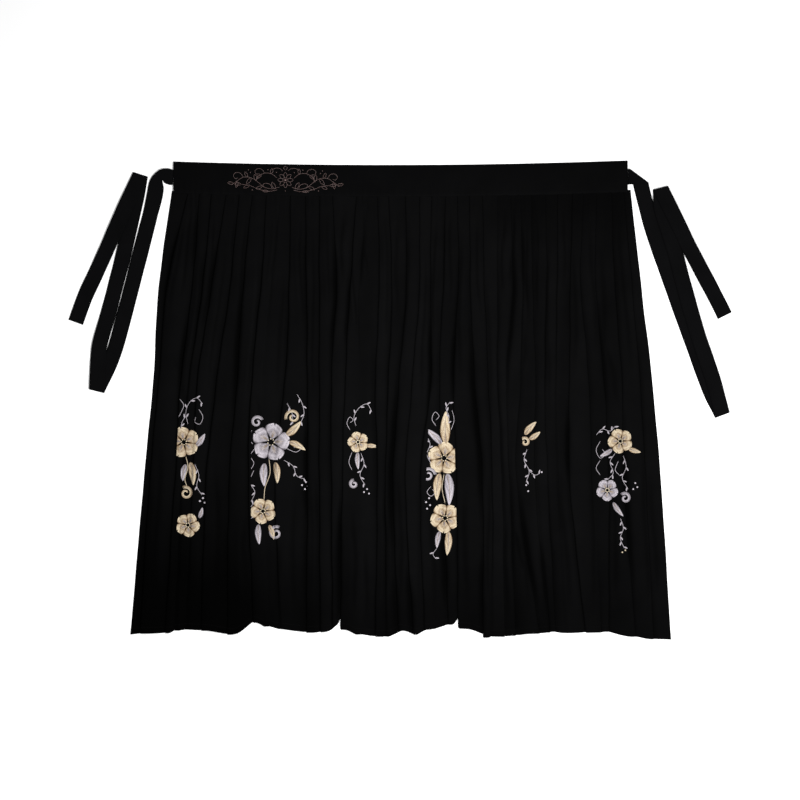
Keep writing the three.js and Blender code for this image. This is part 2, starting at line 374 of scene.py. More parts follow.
def new_group(
    name: str, inputs: dict[str, str], outputs: dict[str, str]
) -> tuple[Link, dict, bpy.types.Node]:
    """Starts a shader node group with named inputs and outputs.

    Args:
        name: The group's name.
        inputs: Socket types by name.
        outputs: Socket types by name.

    Returns:
        Its tree to add to, its input sockets by name, and its output node.
    """
    tree = bpy.data.node_groups.new(name, "ShaderNodeTree")
    for key, kind in inputs.items():
        tree.interface.new_socket(name=key, in_out="INPUT", socket_type=kind)
    for key, kind in outputs.items():
        tree.interface.new_socket(name=key, in_out="OUTPUT", socket_type=kind)
    source = tree.nodes.new("NodeGroupInput")
    target = tree.nodes.new("NodeGroupOutput")
    return Link(tree), {key: source.outputs[key] for key in inputs}, target


def weave_group() -> bpy.types.NodeTree:
    """Builds the plain weave: height = sin(2π·u·threads)·sin(2π·v·threads), uneven by a slow noise.

    Returns:
        The node group.
    """
    link, given, target = new_group(
        "plain weave",
        {"Cloth": "NodeSocketVector", "Threads": "NodeSocketFloat", "Slub": "NodeSocketFloat"},
        {"Height": "NodeSocketFloat", "Tone": "NodeSocketFloat"},
    )
    place = link.add("ShaderNodeSeparateXYZ", {0: given["Cloth"]})
    turns = link.math("MULTIPLY", given["Threads"], 2 * np.pi)
    warp = link.math("SINE", link.math("MULTIPLY", place.outputs[0], turns))
    weft = link.math("SINE", link.math("MULTIPLY", place.outputs[1], turns))
    crossing = link.math("MULTIPLY", warp, weft)
    uneven = link.math("MULTIPLY", link.noise(given["Cloth"], 900.0), given["Slub"])
    height = link.math("ADD", crossing, uneven)
    link.feed(target, {"Height": height, "Tone": link.noise(given["Cloth"], 14.0, 4.0)})
    return link.tree


def stitch_group() -> bpy.types.NodeTree:
    """Builds satin stitch: threads side by side with height = |sin(π·v·threads)|, and a slow tone.

    Returns:
        The node group.
    """
    link, given, target = new_group(
        "satin stitch",
        {"Cloth": "NodeSocketVector", "Threads": "NodeSocketFloat"},
        {"Height": "NodeSocketFloat", "Tone": "NodeSocketFloat"},
    )
    place = link.add("ShaderNodeSeparateXYZ", {0: given["Cloth"]})
    turns = link.math("MULTIPLY", given["Threads"], np.pi)
    wander = link.math("MULTIPLY", link.noise(given["Cloth"], 260.0, 1.0), 0.0006)
    along = link.math("ADD", place.outputs[1], wander)
    thread = link.math("ABSOLUTE", link.math("SINE", link.math("MULTIPLY", along, turns)))
    link.feed(target, {"Height": thread, "Tone": link.noise(given["Cloth"], 420.0, 3.0)})
    return link.tree


@dataclass(frozen=True)
class ClothFinish:
    """Matt black woven cloth with painted shade: hollows between the folds are painted darker, and faces
    slightly uneven in tone.
    """

    name: str
    # face is the cloth's own colour; the colour after it is painted shade, mixed in where the piece's
    # attribute says.
    face: tuple[float, float, float]
    painted_shade: tuple[float, float, float]
    threads: float = 1500.0
    slub: float = 0.8
    weave_strength: float = 0.5
    weave_height: float = 0.00004
    least_tone: float = 0.86
    most_tone: float = 1.14
    sheen: float = 0.003
    sheen_roughness: float = 0.5
    roughness: float = 0.8
    gloss: float = 0.012

    def make(self, weave: bpy.types.NodeTree) -> bpy.types.Material:
        """Builds the material.

        Args:
            weave: The weave node group.

        Returns:
            The material.
        """
        material, link, shader = start_material(self.name)
        group = link.on_cloth(weave, Threads=self.threads, Slub=self.slub)
        # Painted shade: the piece's attribute mixes the cloth's own colour towards the darker painted shade
        # colour.
        deep = link.add("ShaderNodeAttribute", attribute_name="painted_shade")
        tone = link.mix(deep.outputs["Fac"], self.face, self.painted_shade)
        wear = {0: group.outputs["Tone"], 1: 0.3, 2: 0.7, 3: self.least_tone, 4: self.most_tone}
        uneven = link.add("ShaderNodeMapRange", wear)
        worn = link.add("ShaderNodeVectorMath", {0: tone, "Scale": uneven.outputs[0]}, operation="SCALE")
        link.feed(shader, {
            "Base Color": worn.outputs[0],
            "Normal": link.bump(group.outputs["Height"], self.weave_strength, self.weave_height),
            "Roughness": self.roughness,
            "Specular IOR Level": self.gloss,
            "Sheen Weight": self.sheen,
            "Sheen Roughness": self.sheen_roughness,
        })
        return material


@dataclass(frozen=True)
class ThreadFinish:
    """Satin thread that runs from a deep tone at the root of a shape to a light one at its tip."""

    name: str
    deep: tuple[float, float, float]
    light: tuple[float, float, float]
    threads: float = 1400.0
    thread_strength: float = 0.6
    thread_height: float = 0.0002
    tone_spread: float = 0.9
    sheen: float = 0.25
    roughness: float = 0.42
    gloss: float = 0.4

    def make(self, stitch: bpy.types.NodeTree) -> bpy.types.Material:
        """Builds the material.

        Args:
            stitch: The satin stitch node group.

        Returns:
            The material.
        """
        material, link, shader = start_material(self.name)
        group = link.on_cloth(stitch, Threads=self.threads)
        shade = link.add("ShaderNodeAttribute", attribute_name="shade")
        spread = link.math("MULTIPLY", link.math("SUBTRACT", group.outputs["Tone"], 0.5), self.tone_spread)
        link.feed(shader, {
            "Base Color": link.mix(link.math("ADD", shade.outputs["Fac"], spread), self.deep, self.light),
            "Normal": link.bump(group.outputs["Height"], self.thread_strength, self.thread_height),
            "Roughness": self.roughness,
            "Specular IOR Level": self.gloss,
            "Sheen Weight": self.sheen,
        })
        return material


@dataclass(frozen=True)
class FloorFinish:
    """A plain pale matt floor with a faint unevenness."""

    name: str = "pale_floor"
    tone: tuple[float, float, float] = (0.97, 0.97, 0.97)
    roughness: float = 0.9
    gloss: float = 0.1

    def make(self) -> bpy.types.Material:
        """Builds the material.

        Returns:
            The material.
        """
        material, link, shader = start_material(self.name)
        place = link.add("ShaderNodeTexCoord")
        link.feed(shader, {
            "Base Color": (*self.tone, 1),
            "Normal": link.bump(link.noise(place.outputs["Object"], 30.0), 0.05, 0.001),
            "Roughness": self.roughness,
            "Specular IOR Level": self.gloss,
        })
        return material


@dataclass(frozen=True)
class BandSizes:
    """The waistband's place: its ends, and a centre line that sags a little between them."""

    left: float = -453
    right: float = 455
    middle: float = 438
    height: float = 64
    rise: float = 8
    tilt: float = 2

    def line(self, x: np.ndarray, offset: np.ndarray | float) -> np.ndarray:
        """Gives the height up the picture of a line along the band.

        It is middle + offset + rise·u² + tilt/2·u, with u from −1 to 1 along the band.

        Args:
            x: Places along the band.
            offset: How far the line lies above the band's centre line.

        Returns:
            Its heights.
        """
        centre = (self.left + self.right) / 2
        u = (x - centre) / (self.right - centre)
        return self.middle + offset + self.rise * u * u + self.tilt / 2 * u


def gather_phase(x: np.ndarray) -> np.ndarray:
    """Phase of the gathers at the seam: they are 14.5 mm apart, and wander over 83 mm."""
    return 2 * np.pi * x / 14.5 + 1.9 * np.sin(2 * np.pi * x / 83)


BAND = BandSizes()
THREAD_SIDES = 6
SEAM_GAP = 0.3
SEAM_TUCK = 5  # how far the skirt cloth reaches up between the band's two layers

# The folds from left to right: where the outer edge lies at five heights, which way it points, how deep it
# is tucked at three heights (below 0 it has opened into a soft step), the hem at its edge, the hem of the
# cloth beside it above that, and the tucked layers' above that.
COLUMNS = "waist hip knee calf hem lean top middle low end step notch".split()
EDGE_SHARES = np.array([0, 0.21, 0.42, 0.65, 1])
DEPTH_SHARES = np.array([0, 0.42, 1])
FOLDS = [
    dict(zip(COLUMNS, row))
    for row in [
        (-423, -464, -481, -499, -519, -1, 0.8, 0.6, 0.5, -467, 0, 2),
        (-401, -414, -437, -449, -469, -1, 1, 1, 0.7, -466, 0, 2),
        (-377, -393, -419, -433, -445, -1, 0.8, -0.6, -1, -461, 0, 0),
        (-347, -375, -403, -413, -423, -1, 1, 0.2, -1, -459, 0, 0),
        (-321, -339, -365, -387, -397, -1, 0.7, 1, 0.6, -461, 0, 2),
        (-295, -313, -325, -341, -345, -1, 0.8, 1, 0.8, -469, 0, 2),
        (-267, -277, -295, -303, -293, -1, 1, 0.8, 0.9, -445, 2, 2),
        (-239, -257, -275, -279, -269, 1, 1, -0.2, -1, -453, 0, 0),
        (-219, -221, -229, -249, -237, -1, 0.7, 1, -0.6, -458, 0, 0),
        (-189, -187, -185, -185, -187, -1, 1, 1, 1, -465, 0, 2),
        (-161, -161, -161, -161, -159, -1, 0.9, 1, 0.4, -464, 0, 2),
        (-135, -127, -137, -137, -135, -1, 0.7, 1, 1, -451, -10, 0),
        (-87, -99, -109, -115, -119, -1, 1, 1, 1, -459, 19, 8),
        (-63, -82, -81, -79, -85, 1, 0.9, -0.6, -1, -469, 0, 0),
        (-45, -41, -49, -45, -49, -1, 0.7, 0.8, 0.9, -473, 0, 2),
        (-23, -16, -23, -29, -25, -1, 0.9, 0.8, -0.8, -473, 0, 0),
        (11, 13, -1, -14, -3, -1, 0.6, 1, 1, -461, -5, 4),
        (39, 39, 25, 11, 27, -1, 0.9, 1, 0.6, -469, 0, 2),
        (63, 61, 62, 41, 49, -1, 0.8, 1, 0.6, -459, -2, 2),
        (91, 87, 79, 85, 97, -1, 0.8, 1, 1, -449, 0, 2),
        (115, 117, 107, 113, 116, -1, 1, 0.9, 1, -457, 20, 12),
        (139, 141, 149, 165, 166, -1, 0.8, 1, 1, -475, 6, 2),
        (165, 169, 177, 185, 187, -1, 0.8, 0.5, -1, -473, 0, 0),
        (195, 195, 195, 204, 209, 1, 0.7, 0.8, 0.3, -473, 0, 2),
        (221, 225, 213, 219, 231, 1, 1, 1, 0.9, -471, 0, 2),
        (241, 245, 241, 233, 279, 1, 0.8, 0.4, 0.9, -467, 0, 2),
        (263, 265, 271, 269, 295, 1, 0.9, 0.3, -1, -465, 0, 0),
        (291, 293, 289, 295, 311, 1, 1, 1, 1, -463, -2, 2),
        (315, 315, 313, 317, 335, -1, 0.7, -0.5, -1, -466, 0, 0),
        (345, 341, 339, 339, 371, -1, 0.7, 0.8, 0.6, -465, 0, 2),
        (367, 361, 377, 383, 395, 1, 0.7, 0.5, -1, -465, 0, 0),
        (393, 391, 407, 417, 417, 1, 0.7, 0.9, 0.8, -463, -1, 2),
        (423, 429, 443, 447, 471, 1, 0.6, 0.6, 0.6, -473, 0, 2),
        (447, 463, 479, 491, 507, 1, 0.7, 0.5, 0.5, -478, 0, 1),
    ]
]
LEFT_EDGE = {"waist": -456, "hip": -482, "knee": -493, "calf": -512, "hem": -539, "end": -469}
RIGHT_EDGE = {"waist": 461, "hip": 482, "knee": 504, "calf": 522, "hem": 542, "end": -479}

# Painted shadows beside the folds where they stand highest, darkening the cloth's colour: the fold's
# number, the shares of the length between which the painted shadow lies, how wide it is, and how dark.
SHADOWS = [
    (0, 0.05, 0.30, 5, 0.7), (1, 0.02, 0.20, 5, 0.7), (1, 0.24, 0.50, 6, 0.9), (2, 0.10, 0.36, 5, 0.6),
    (3, 0.08, 0.32, 5, 0.8), (5, 0.15, 0.55, 7, 1.0), (5, 0.74, 0.98, 7, 0.85), (6, 0.10, 0.40, 4, 0.6),
    (8, 0.15, 0.50, 4, 0.6), (9, 0.45, 0.80, 6, 1.0), (9, 0.72, 0.99, 5, 0.6), (11, 0.05, 0.45, 6, 0.95),
    (12, 0.15, 0.40, 5, 0.8), (12, 0.66, 1.05, 8, 1.0), (13, 0.04, 0.22, 4, 0.7), (14, 0.30, 0.60, 4, 0.5),
    (16, 0.33, 0.90, 8, 1.0), (16, 0.84, 1.05, 8, 0.8), (17, 0.82, 1.05, 8, 0.9), (18, 0.24, 0.54, 5, 1.0),
    (19, 0.74, 0.98, 9, 0.95), (20, 0.26, 0.52, 5, 0.95),
    (21, 0.22, 0.82, 8, 1.0), (21, 0.76, 1.05, 6, 0.9),
    (24, 0.04, 0.50, 6, 0.9), (24, 0.60, 0.96, 5, 0.7), (25, 0.05, 0.25, 5, 0.7), (25, 0.64, 0.99, 8, 1.0),
    (26, 0.76, 0.98, 5, 0.8), (27, 0.06, 0.52, 3, 0.8), (29, 0.46, 0.70, 6, 0.95), (31, 0.22, 0.54, 5, 0.7),
    (32, 0.48, 0.95, 8, 0.9), (33, 0.30, 0.60, 5, 0.4),
]


@dataclass(frozen=True)
class Crease:
    """One crease: a soft ridge, or a groove where its height is below 0. It also gives painted shade beside
    a ridge or inside a groove.
    """

    x_start: float
    start: float
    x_end: float
    end: float
    width: float
    height: float
    wander: float = 2.5
    lift: float = 1.5
    # The painted shade beside a crease: a crease of full_height gets the darkest painted shade, set by the
    # field after it.
    full_height: float = 1.5
    darkest_shade: float = 0.5

    def course(self, share: np.ndarray) -> tuple[np.ndarray, np.ndarray]:
        """Works out its line, straight but for a small wander, and how strong it is, fading at both ends.

        Args:
            share: Shares of the cloth's length.

        Returns:
            Where it lies across, and its strength from 0 to 1.
        """
        u = (share - self.start) / (self.end - self.start)
        centre = self.x_start + (self.x_end - self.x_start) * u + self.wander * np.sin(7 * u + self.x_start)
        return centre, soft_step(0, 0.3, u) * (1 - soft_step(0.65, 1, u))

    def raised(self, x: np.ndarray, share: np.ndarray) -> np.ndarray:
        """How far it raises the cloth, as a bell across its line."""
        centre, strength = self.course(share)
        return self.lift * self.height * bell(x - centre, 0.8 * self.width) * strength

    def shade(self, x: np.ndarray, share: np.ndarray) -> np.ndarray:
        """Works out the painted shade it puts on the cloth: beside a ridge, towards the middle, or inside a
        groove.

        Args:
            x: Places across, shape (rows, columns).
            share: Shares of the length, shape (rows, 1).

        Returns:
            Values from 0 to 1.
        """
        centre, strength = self.course(share)
        side = centre - np.sign(self.x_start) * 1.1 * self.width if self.height > 0 else centre
        depth = self.darkest_shade * abs(self.height) / self.full_height
        return depth * bell(x - side, 0.6 * self.width) * strength


# Creases pressed or pulled into the cloth: where each starts and ends, across and as a share of the length,
# how wide it is, and how far it stands up, or below 0 how deep it lies.
CREASE_ROWS = [
    (-440, 0.05, -470, 0.30, 7, 1.3), (-412, 0.02, -442, 0.26, 6, -1.2), (-392, 0.10, -430, 0.42, 6, 1.4),
    (-366, 0.02, -398, 0.36, 5, -1.3), (-352, 0.08, -392, 0.48, 6, 1.2), (-330, 0.03, -352, 0.25, 5, 1.1),
    (-306, 0.02, -330, 0.44, 5, -1.2), (-284, 0.10, -312, 0.52, 6, 1.2), (-252, 0.02, -262, 0.24, 5, 1.1),
    (-232, 0.16, -246, 0.50, 6, -1.1), (-205, 0.03, -203, 0.34, 6, 1.3), (-176, 0.06, -172, 0.50, 5, -1.2),
    (-148, 0.02, -150, 0.30, 5, 1.1), (-112, 0.02, -118, 0.22, 6, -1.4), (-104, 0.10, -92, 0.34, 5, 1.4),
    (-74, 0.02, -66, 0.20, 4, -1.2), (-60, 0.28, -64, 0.74, 9, 1.2), (-33, 0.03, -31, 0.36, 5, 1.1),
    (-5, 0.02, -7, 0.30, 6, -1.2), (24, 0.04, 12, 0.40, 6, 1.2), (50, 0.10, 44, 0.52, 5, -1.2),
    (76, 0.04, 70, 0.36, 5, 1.2), (103, 0.02, 98, 0.28, 5, -1.1), (126, 0.06, 128, 0.46, 7, 1.2),
    (152, 0.02, 160, 0.30, 5, -1.2), (180, 0.14, 190, 0.60, 7, 1.1), (208, 0.02, 204, 0.26, 5, -1.5),
    (232, 0.02, 226, 0.24, 4, 1.5), (252, 0.04, 256, 0.32, 5, -1.5), (276, 0.02, 281, 0.30, 4, 1.3),
    (304, 0.06, 302, 0.58, 6, 1.1), (330, 0.02, 326, 0.24, 6, -1.0), (356, 0.10, 358, 0.44, 7, 1.0),
    (380, 0.04, 392, 0.38, 7, -1.0), (408, 0.10, 424, 0.52, 8, 1.1), (436, 0.03, 462, 0.44, 7, -1.1),
    (-505, 0.62, -528, 0.98, 11, 1.2), (-478, 0.55, -494, 0.92, 8, -1.2), (-458, 0.66, -460, 0.97, 9, 1.3),
    (-404, 0.70, -410, 0.99, 8, 1.2), (-366, 0.60, -368, 0.97, 8, -1.2), (-318, 0.72, -322, 0.99, 9, 1.4),
    (-258, 0.78, -252, 0.98, 10, 1.5), (-212, 0.66, -214, 0.99, 9, -1.2), (-172, 0.62, -172, 0.95, 6, 1.2),
    (-102, 0.70, -98, 0.99, 8, 1.4), (-66, 0.78, -68, 0.99, 8, -1.2), (-34, 0.62, -38, 0.96, 7, 1.2),
    (10, 0.60, 12, 0.98, 9, 1.3), (36, 0.64, 40, 0.95, 6, -1.1), (72, 0.62, 78, 0.99, 9, 1.4),
    (140, 0.66, 144, 0.97, 10, 1.3), (176, 0.60, 178, 0.95, 6, -1.2), (222, 0.70, 220, 0.99, 8, 1.2),
    (238, 0.64, 262, 0.98, 6, -1.4), (330, 0.62, 352, 0.98, 10, 1.2), (386, 0.56, 384, 0.98, 7, -1.1),
    (432, 0.60, 446, 0.96, 9, 1.3), (486, 0.52, 496, 0.97, 9, -1.1), (512, 0.60, 526, 0.95, 10, 1.1),
    (-466, 0.36, -430, 0.50, 9, 1.0), (-300, 0.46, -262, 0.60, 9, 1.0), (118, 0.50, 96, 0.66, 8, 1.0),
    (262, 0.30, 246, 0.44, 7, 1.0), (420, 0.34, 452, 0.50, 9, 0.9), (226, 0.74, 270, 0.88, 8, 1.2),
]
CREASES = [Crease(*row) for row in CREASE_ROWS]


class Width(Enum):
    """The widths of cloth, each by its node, its first and last fold, and how wide it is cut, in metres."""

    LEFT = ("panel_left", 0, 12, 0.64)
    CENTRE = ("panel_centre", 12, 20, 0.39)
    RIGHT = ("panel_right", 20, 33, 0.636)


CLOTH_LENGTH = 0.885


def edge_line(row: dict, share: np.ndarray) -> np.ndarray:
    """Reads from a row of the tables where its edge lies across the skirt."""
    return smooth_curve(EDGE_SHARES, [row[key] for key in COLUMNS[:5]], share)


@dataclass
class SkirtCloth:
    """The gathered skirt cloth, whose folds have three layers and lie on each other like saw teeth."""

    wall: float = 0.7
    layer_step: float = 2.0
    hem_depth: float = 14
    hem_wall: float = 0.5
    edge_clearance: float = 2.5
    tuck_clearance: float = 1.5
    standing: float = 0.3
    edge_round: float = 0.6
    # How dark the painted shade is at the foot of a fold's outer edge.
    painted_foot_shade: float = 0.55
    gather_height: float = 1.5
    uneven_height: float = 0.35
    fullness_chain: float = 0.5
    fullness_shared: float = 0.36
    fullness_open: float = 0.2
    sample: float = 3.2
    most_samples: int = 9
    hem_stitch: float = 12
    side_stitch: float = 8
    grids: dict[str, np.ndarray] = field(default_factory=dict)

    @property
    def radius(self) -> float:
        """Half the step from one layer to the next."""
        return self.layer_step / 2

    @property
    def shares(self) -> np.ndarray:
        """Shares of the length at which the cloth has a row.

        Returns:
            The shares from 0 to 1, close together at the gathers and the hem.
        """
        gathers = np.linspace(0, 0.07, 16)[:-1]
        body = np.linspace(0.07, 0.97, 92)[:-1]
        hem = np.linspace(0.97, 1, 14)
        return np.concatenate([gathers, body, hem])

    def beside(self, index: int, share: np.ndarray) -> np.ndarray:
        """Where a fold's outer edge, or past the last ones the cloth's edge, lies across the skirt."""
        row = LEFT_EDGE if index < 0 else RIGHT_EDGE if index >= len(FOLDS) else FOLDS[index]
        return edge_line(row, share)

    def depth(self, fold: dict, share: np.ndarray) -> np.ndarray:
        """How deep a fold is tucked. Near 0 it is held at 0, where the fold just stands."""
        given = smooth_curve(DEPTH_SHARES, [fold["top"], fold["middle"], fold["low"]], share)
        return given * soft_step(0, self.standing, np.abs(given))

    def fold_line(self, index: int, share: np.ndarray) -> np.ndarray:
        """Gives one fold's middle line: top layer, round the outer edge, inside, and out on the lowest.

        Args:
            index: The fold's number.
            share: Shares of the length, shape (rows,).

        Returns:
            Across, height and hem of eight points, shape (rows, 8, 3), from left to right.
        """
        fold = FOLDS[index]
        lean = fold["lean"]
        x = self.beside(index, share)
        covered_room = np.abs(x - self.beside(index - lean, share))
        open_room = np.abs(self.beside(index + lean, share) - x)
        behind = index - lean
        shared = 0 <= behind < len(FOLDS) and FOLDS[behind]["lean"] != lean
        depth = self.depth(fold, share)
        fullness = self.fullness_shared if shared else self.fullness_chain
        tuck = np.where(depth > 0, depth * fullness * covered_room, depth * self.fullness_open * open_room)
        height = 2 * self.layer_step * np.minimum(1, 1.14 + 0.7 * depth)
        closed = np.clip(tuck / (3 * self.radius), 0, 1)
        bend = np.where(tuck > 0, self.radius, np.maximum(self.radius, -tuck / 3))
        back = np.where(tuck > 0, -np.minimum(self.radius, tuck / 3), -tuck / 3)
        beyond = np.maximum(self.edge_clearance, bend - tuck + self.radius)
        nought = np.zeros_like(x)

        def level(opened: float, shut: float) -> np.ndarray:
            """Height of a point as a share of the fold's, between an opened and a shut fold."""
            return height * (opened + (shut - opened) * closed)

        inside = -np.maximum(tuck, 0) - self.tuck_clearance - bend
        across = [inside, -bend, nought, back, -tuck - back, -tuck, -tuck + bend, beyond]
        turning = [level(0.8, 0.75), level(0.6, 0.5), level(0.4, 0.5), level(0.2, 0.25)]
        up = [height, height, *turning, nought, nought]
        tucked = fold["end"] + max(fold["step"], 0) + fold["notch"]
        hem = [fold["end"]] * 3 + [tucked] * 4 + [fold["end"] + fold["step"]]
        line = np.empty((len(share), 8, 3))
        line[..., 0] = x[:, None] + lean * np.stack(across, axis=1)
        line[..., 1] = np.stack(up, axis=1)
        line[..., 2] = np.array(hem)
        return line if lean > 0 else line[:, ::-1]

    def seam(self, index: int, share: np.ndarray, side: int) -> np.ndarray:
        """Finds where two widths meet: on the lowest layer of a fold, half the gap to one side.

        Args:
            index: The fold's number.
            share: Shares of the length, shape (rows,).
            side: 1 for the width to the right of the seam, −1 for that to its left.

        Returns:
            Across, height and hem, shape (rows, 1, 3).
        """
        fold = self.fold_line(index, share)
        lowest, corner = (7, 6) if FOLDS[index]["lean"] > 0 else (0, 1)
        x = (fold[:, lowest, 0] + fold[:, corner, 0]) / 2 + side * SEAM_GAP / 2
        return np.stack([x, np.zeros_like(x), fold[:, corner, 2]], axis=1)[:, None]

    def edge(self, row: dict, share: np.ndarray) -> np.ndarray:
        """A side edge of the skirt, on the floor, shape (rows, 1, 3)."""
        x = edge_line(row, share)
        return np.stack([x, np.zeros_like(x), np.full_like(x, row["end"])], axis=1)[:, None]

    def control_line(self, width: Width, share: np.ndarray) -> np.ndarray:
        """Joins the folds of one width of cloth into one line from left to right.

        Args:
            width: The width of cloth.
            share: Shares of the length, shape (rows,).

        Returns:
            Across, height and hem, shape (rows, points, 3).
        """
        _, first, last, _ = width.value
        folds = [self.fold_line(k, share) for k in range(first, last + 1)]
        if first == 0:
            folds.insert(0, self.edge(LEFT_EDGE, share))
        else:
            folds[0] = np.concatenate([self.seam(first, share, 1), folds[0][:, 1:]], axis=1)
        if last == len(FOLDS) - 1:
            folds.append(self.edge(RIGHT_EDGE, share))
        else:
            folds[-1] = np.concatenate([folds[-1][:, :1], self.seam(last, share, -1)], axis=1)
        return np.concatenate(folds, axis=1)

    def rounded(self, control: np.ndarray) -> np.ndarray:
        """Draws a smooth line by its control points: a uniform cubic B-spline that begins and ends on them.

        Args:
            control: Control points, shape (rows, points, 3).

        Returns:
            Points close enough to show the rounding, shape (rows, columns, 3).
        """
        held = np.concatenate([control[:, :1]] * 2 + [control] + [control[:, -1:]] * 2, axis=1)
        lengths = np.linalg.norm(np.diff(held, axis=1)[..., :2], axis=2).mean(axis=0)[1:-1]
        counts = np.clip(np.ceil(lengths / self.sample), 2, self.most_samples).astype(int)
        steps = [np.arange(n) / n + i for i, n in enumerate(counts)]
        at = np.append(np.concatenate(steps), len(counts))
        index = np.minimum(at.astype(int), len(counts) - 1)
        u = (at - index)[None, :, None]
        weights = [(1 - u) ** 3, 3 * u**3 - 6 * u**2 + 4, -3 * u**3 + 3 * u**2 + 3 * u + 1, u**3]
        return sum(weight / 6 * held[:, index + k] for k, weight in enumerate(weights))

    def creased(self, x: np.ndarray, share: np.ndarray) -> np.ndarray:
        """Adds up the creases, the small gathers under the band and a slow unevenness.

        Args:
            x: Places across, shape (rows, columns).
            share: Shares of the length, shape (rows, 1).

        Returns:
            How far each point is raised, shape (rows, columns).
        """
        raised = np.zeros_like(x)
        for crease in CREASES:
            raised += crease.raised(x, share)
        gathers = np.sin(gather_phase(x) + 1.1 * np.sin(2 * np.pi * x / 37))
        reach = 0.035 + 0.02 * np.sin(2 * np.pi * x / 61)
        raised += self.gather_height * gathers * bell(share, reach)
        slow = np.sin(x / 19 + 9 * share) * np.sin(23 * share + x / 47)
        return raised + self.uneven_height * slow

    def sway(self, x: np.ndarray, share: np.ndarray) -> np.ndarray:
        """Works out how far the cloth wanders sideways: two slow waves that fade at the band and the sides.

        Args:
            x: Places across, shape (rows, columns).
            share: Shares of the length, shape (rows, 1).

        Returns:
            The wander, shape (rows, columns).
        """
        long_wave = 0.6 * np.sin(2 * np.pi * (4.3 * share + x / 190))
        waves = long_wave + 0.35 * np.sin(2 * np.pi * (9.1 * share - x / 130))
        inside = soft_step(-540, -430, x) * (1 - soft_step(430, 540, x))
        at_hem = 1 - 0.7 * soft_step(0.9, 1, share)
        return waves * soft_step(0, 0.15, share) * at_hem * (0.3 + 0.7 * inside)

    def foot_shade(self, index: int, x: np.ndarray, share: np.ndarray) -> np.ndarray:
        """Works out the painted shade at the foot of a fold's outer edge: darkest where it is tucked deep.

        Args:
            index: The fold's number.
            x: Places across, shape (rows, columns).
            share: Shares of the length, shape (rows, 1).

        Returns:
            Values from 0 to 1.
        """
        fold = FOLDS[index]
        away = fold["lean"] * (x - self.beside(index, share))
        uneven = 0.66 + 0.34 * np.sin(share * (9 + 4 * np.sin(index)) + 2.7 * index)
        begins = 0.08 + 0.07 * np.sin(1.9 * index)
        opened = 0.12 + 0.88 * soft_step(begins - 0.06, begins + 0.16, share)
        tucked = np.clip(0.45 + 0.6 * self.depth(fold, share), 0.1, 1)
        width = 4.4 + 2.4 * np.sin(share * 11 + 4.1 * index)
        outside = bell(np.maximum(away - 1, 0), width)
        on_edge = bell(away + self.edge_round, 1.4) * 0.6
        foot = np.where(away > -self.edge_round, outside, on_edge)
        return self.painted_foot_shade * tucked * uneven * opened * foot

    def shadow(
        self, row: tuple[int, float, float, float, float], x: np.ndarray, share: np.ndarray
    ) -> np.ndarray:
        """Works out one painted shadow beside a fold, which swells and fades along its length.

        Args:
            row: Its row in the table of shadows.
            x: Places across, shape (rows, columns).
            share: Shares of the length, shape (rows, 1).

        Returns:
            Values from 0 to 1.
        """
        index, start, end, width, strength = row
        u = (share - start) / (end - start)
        swell = soft_step(0, 0.4, u) * (1 - soft_step(0.6, 1, u))
        middle = self.beside(index, share) + FOLDS[index]["lean"] * 0.45 * width
        return strength * swell**0.6 * bell(x - middle, width * (0.3 + 0.7 * swell))

    def broad_shade(self, x: np.ndarray, share: np.ndarray) -> np.ndarray:
        """Adds up the broad painted shade: the lower left, under the band's right half, the hem, and
        streaks.

        Args:
            x: Places across, shape (rows, columns).
            share: Shares of the length, shape (rows, 1).

        Returns:
            Values from 0 up.
        """
        far_left = 0.5 * (1 - soft_step(-400, -250, x)) + 0.25 * (1 - soft_step(-250, -80, x))
        corner = soft_step(0.5, 0.95, share) * far_left
        under_band = 0.4 * soft_step(80, 260, x) * (1 - soft_step(0.03, 0.14, share))
        along_hem = 0.42 * soft_step(0.78, 1, share) * (1 - 0.6 * soft_step(250, 420, x))
        waves = np.sin(x / 17 + 2.1 * np.sin(x / 59 + 2 * share) + 1.3 * share)
        streaks = 0.13 * (1 + waves) * (0.4 + 0.6 * soft_step(0, 0.3, share))
        return corner + under_band + along_hem + streaks

    def shade(self, x: np.ndarray, share: np.ndarray) -> np.ndarray:
        """Works out the painted shade at each place: the darkest of the painted shades there, with the
        broad painted shade.

        Args:
            x: Places across, shape (rows, columns).
            share: Shares of the length, shape (rows, 1).

        Returns:
            Values from 0 to 1.
        """
        painted_shade = np.zeros_like(x)
        for index in range(len(FOLDS)):
            painted_shade = np.maximum(painted_shade, self.foot_shade(index, x, share))
        for row in SHADOWS:
            painted_shade = np.maximum(painted_shade, self.shadow(row, x, share))
        for crease in CREASES:
            painted_shade = np.maximum(painted_shade, crease.shade(x, share))
        return np.clip(painted_shade + self.broad_shade(x, share) * (1 - painted_shade), 0, 1)

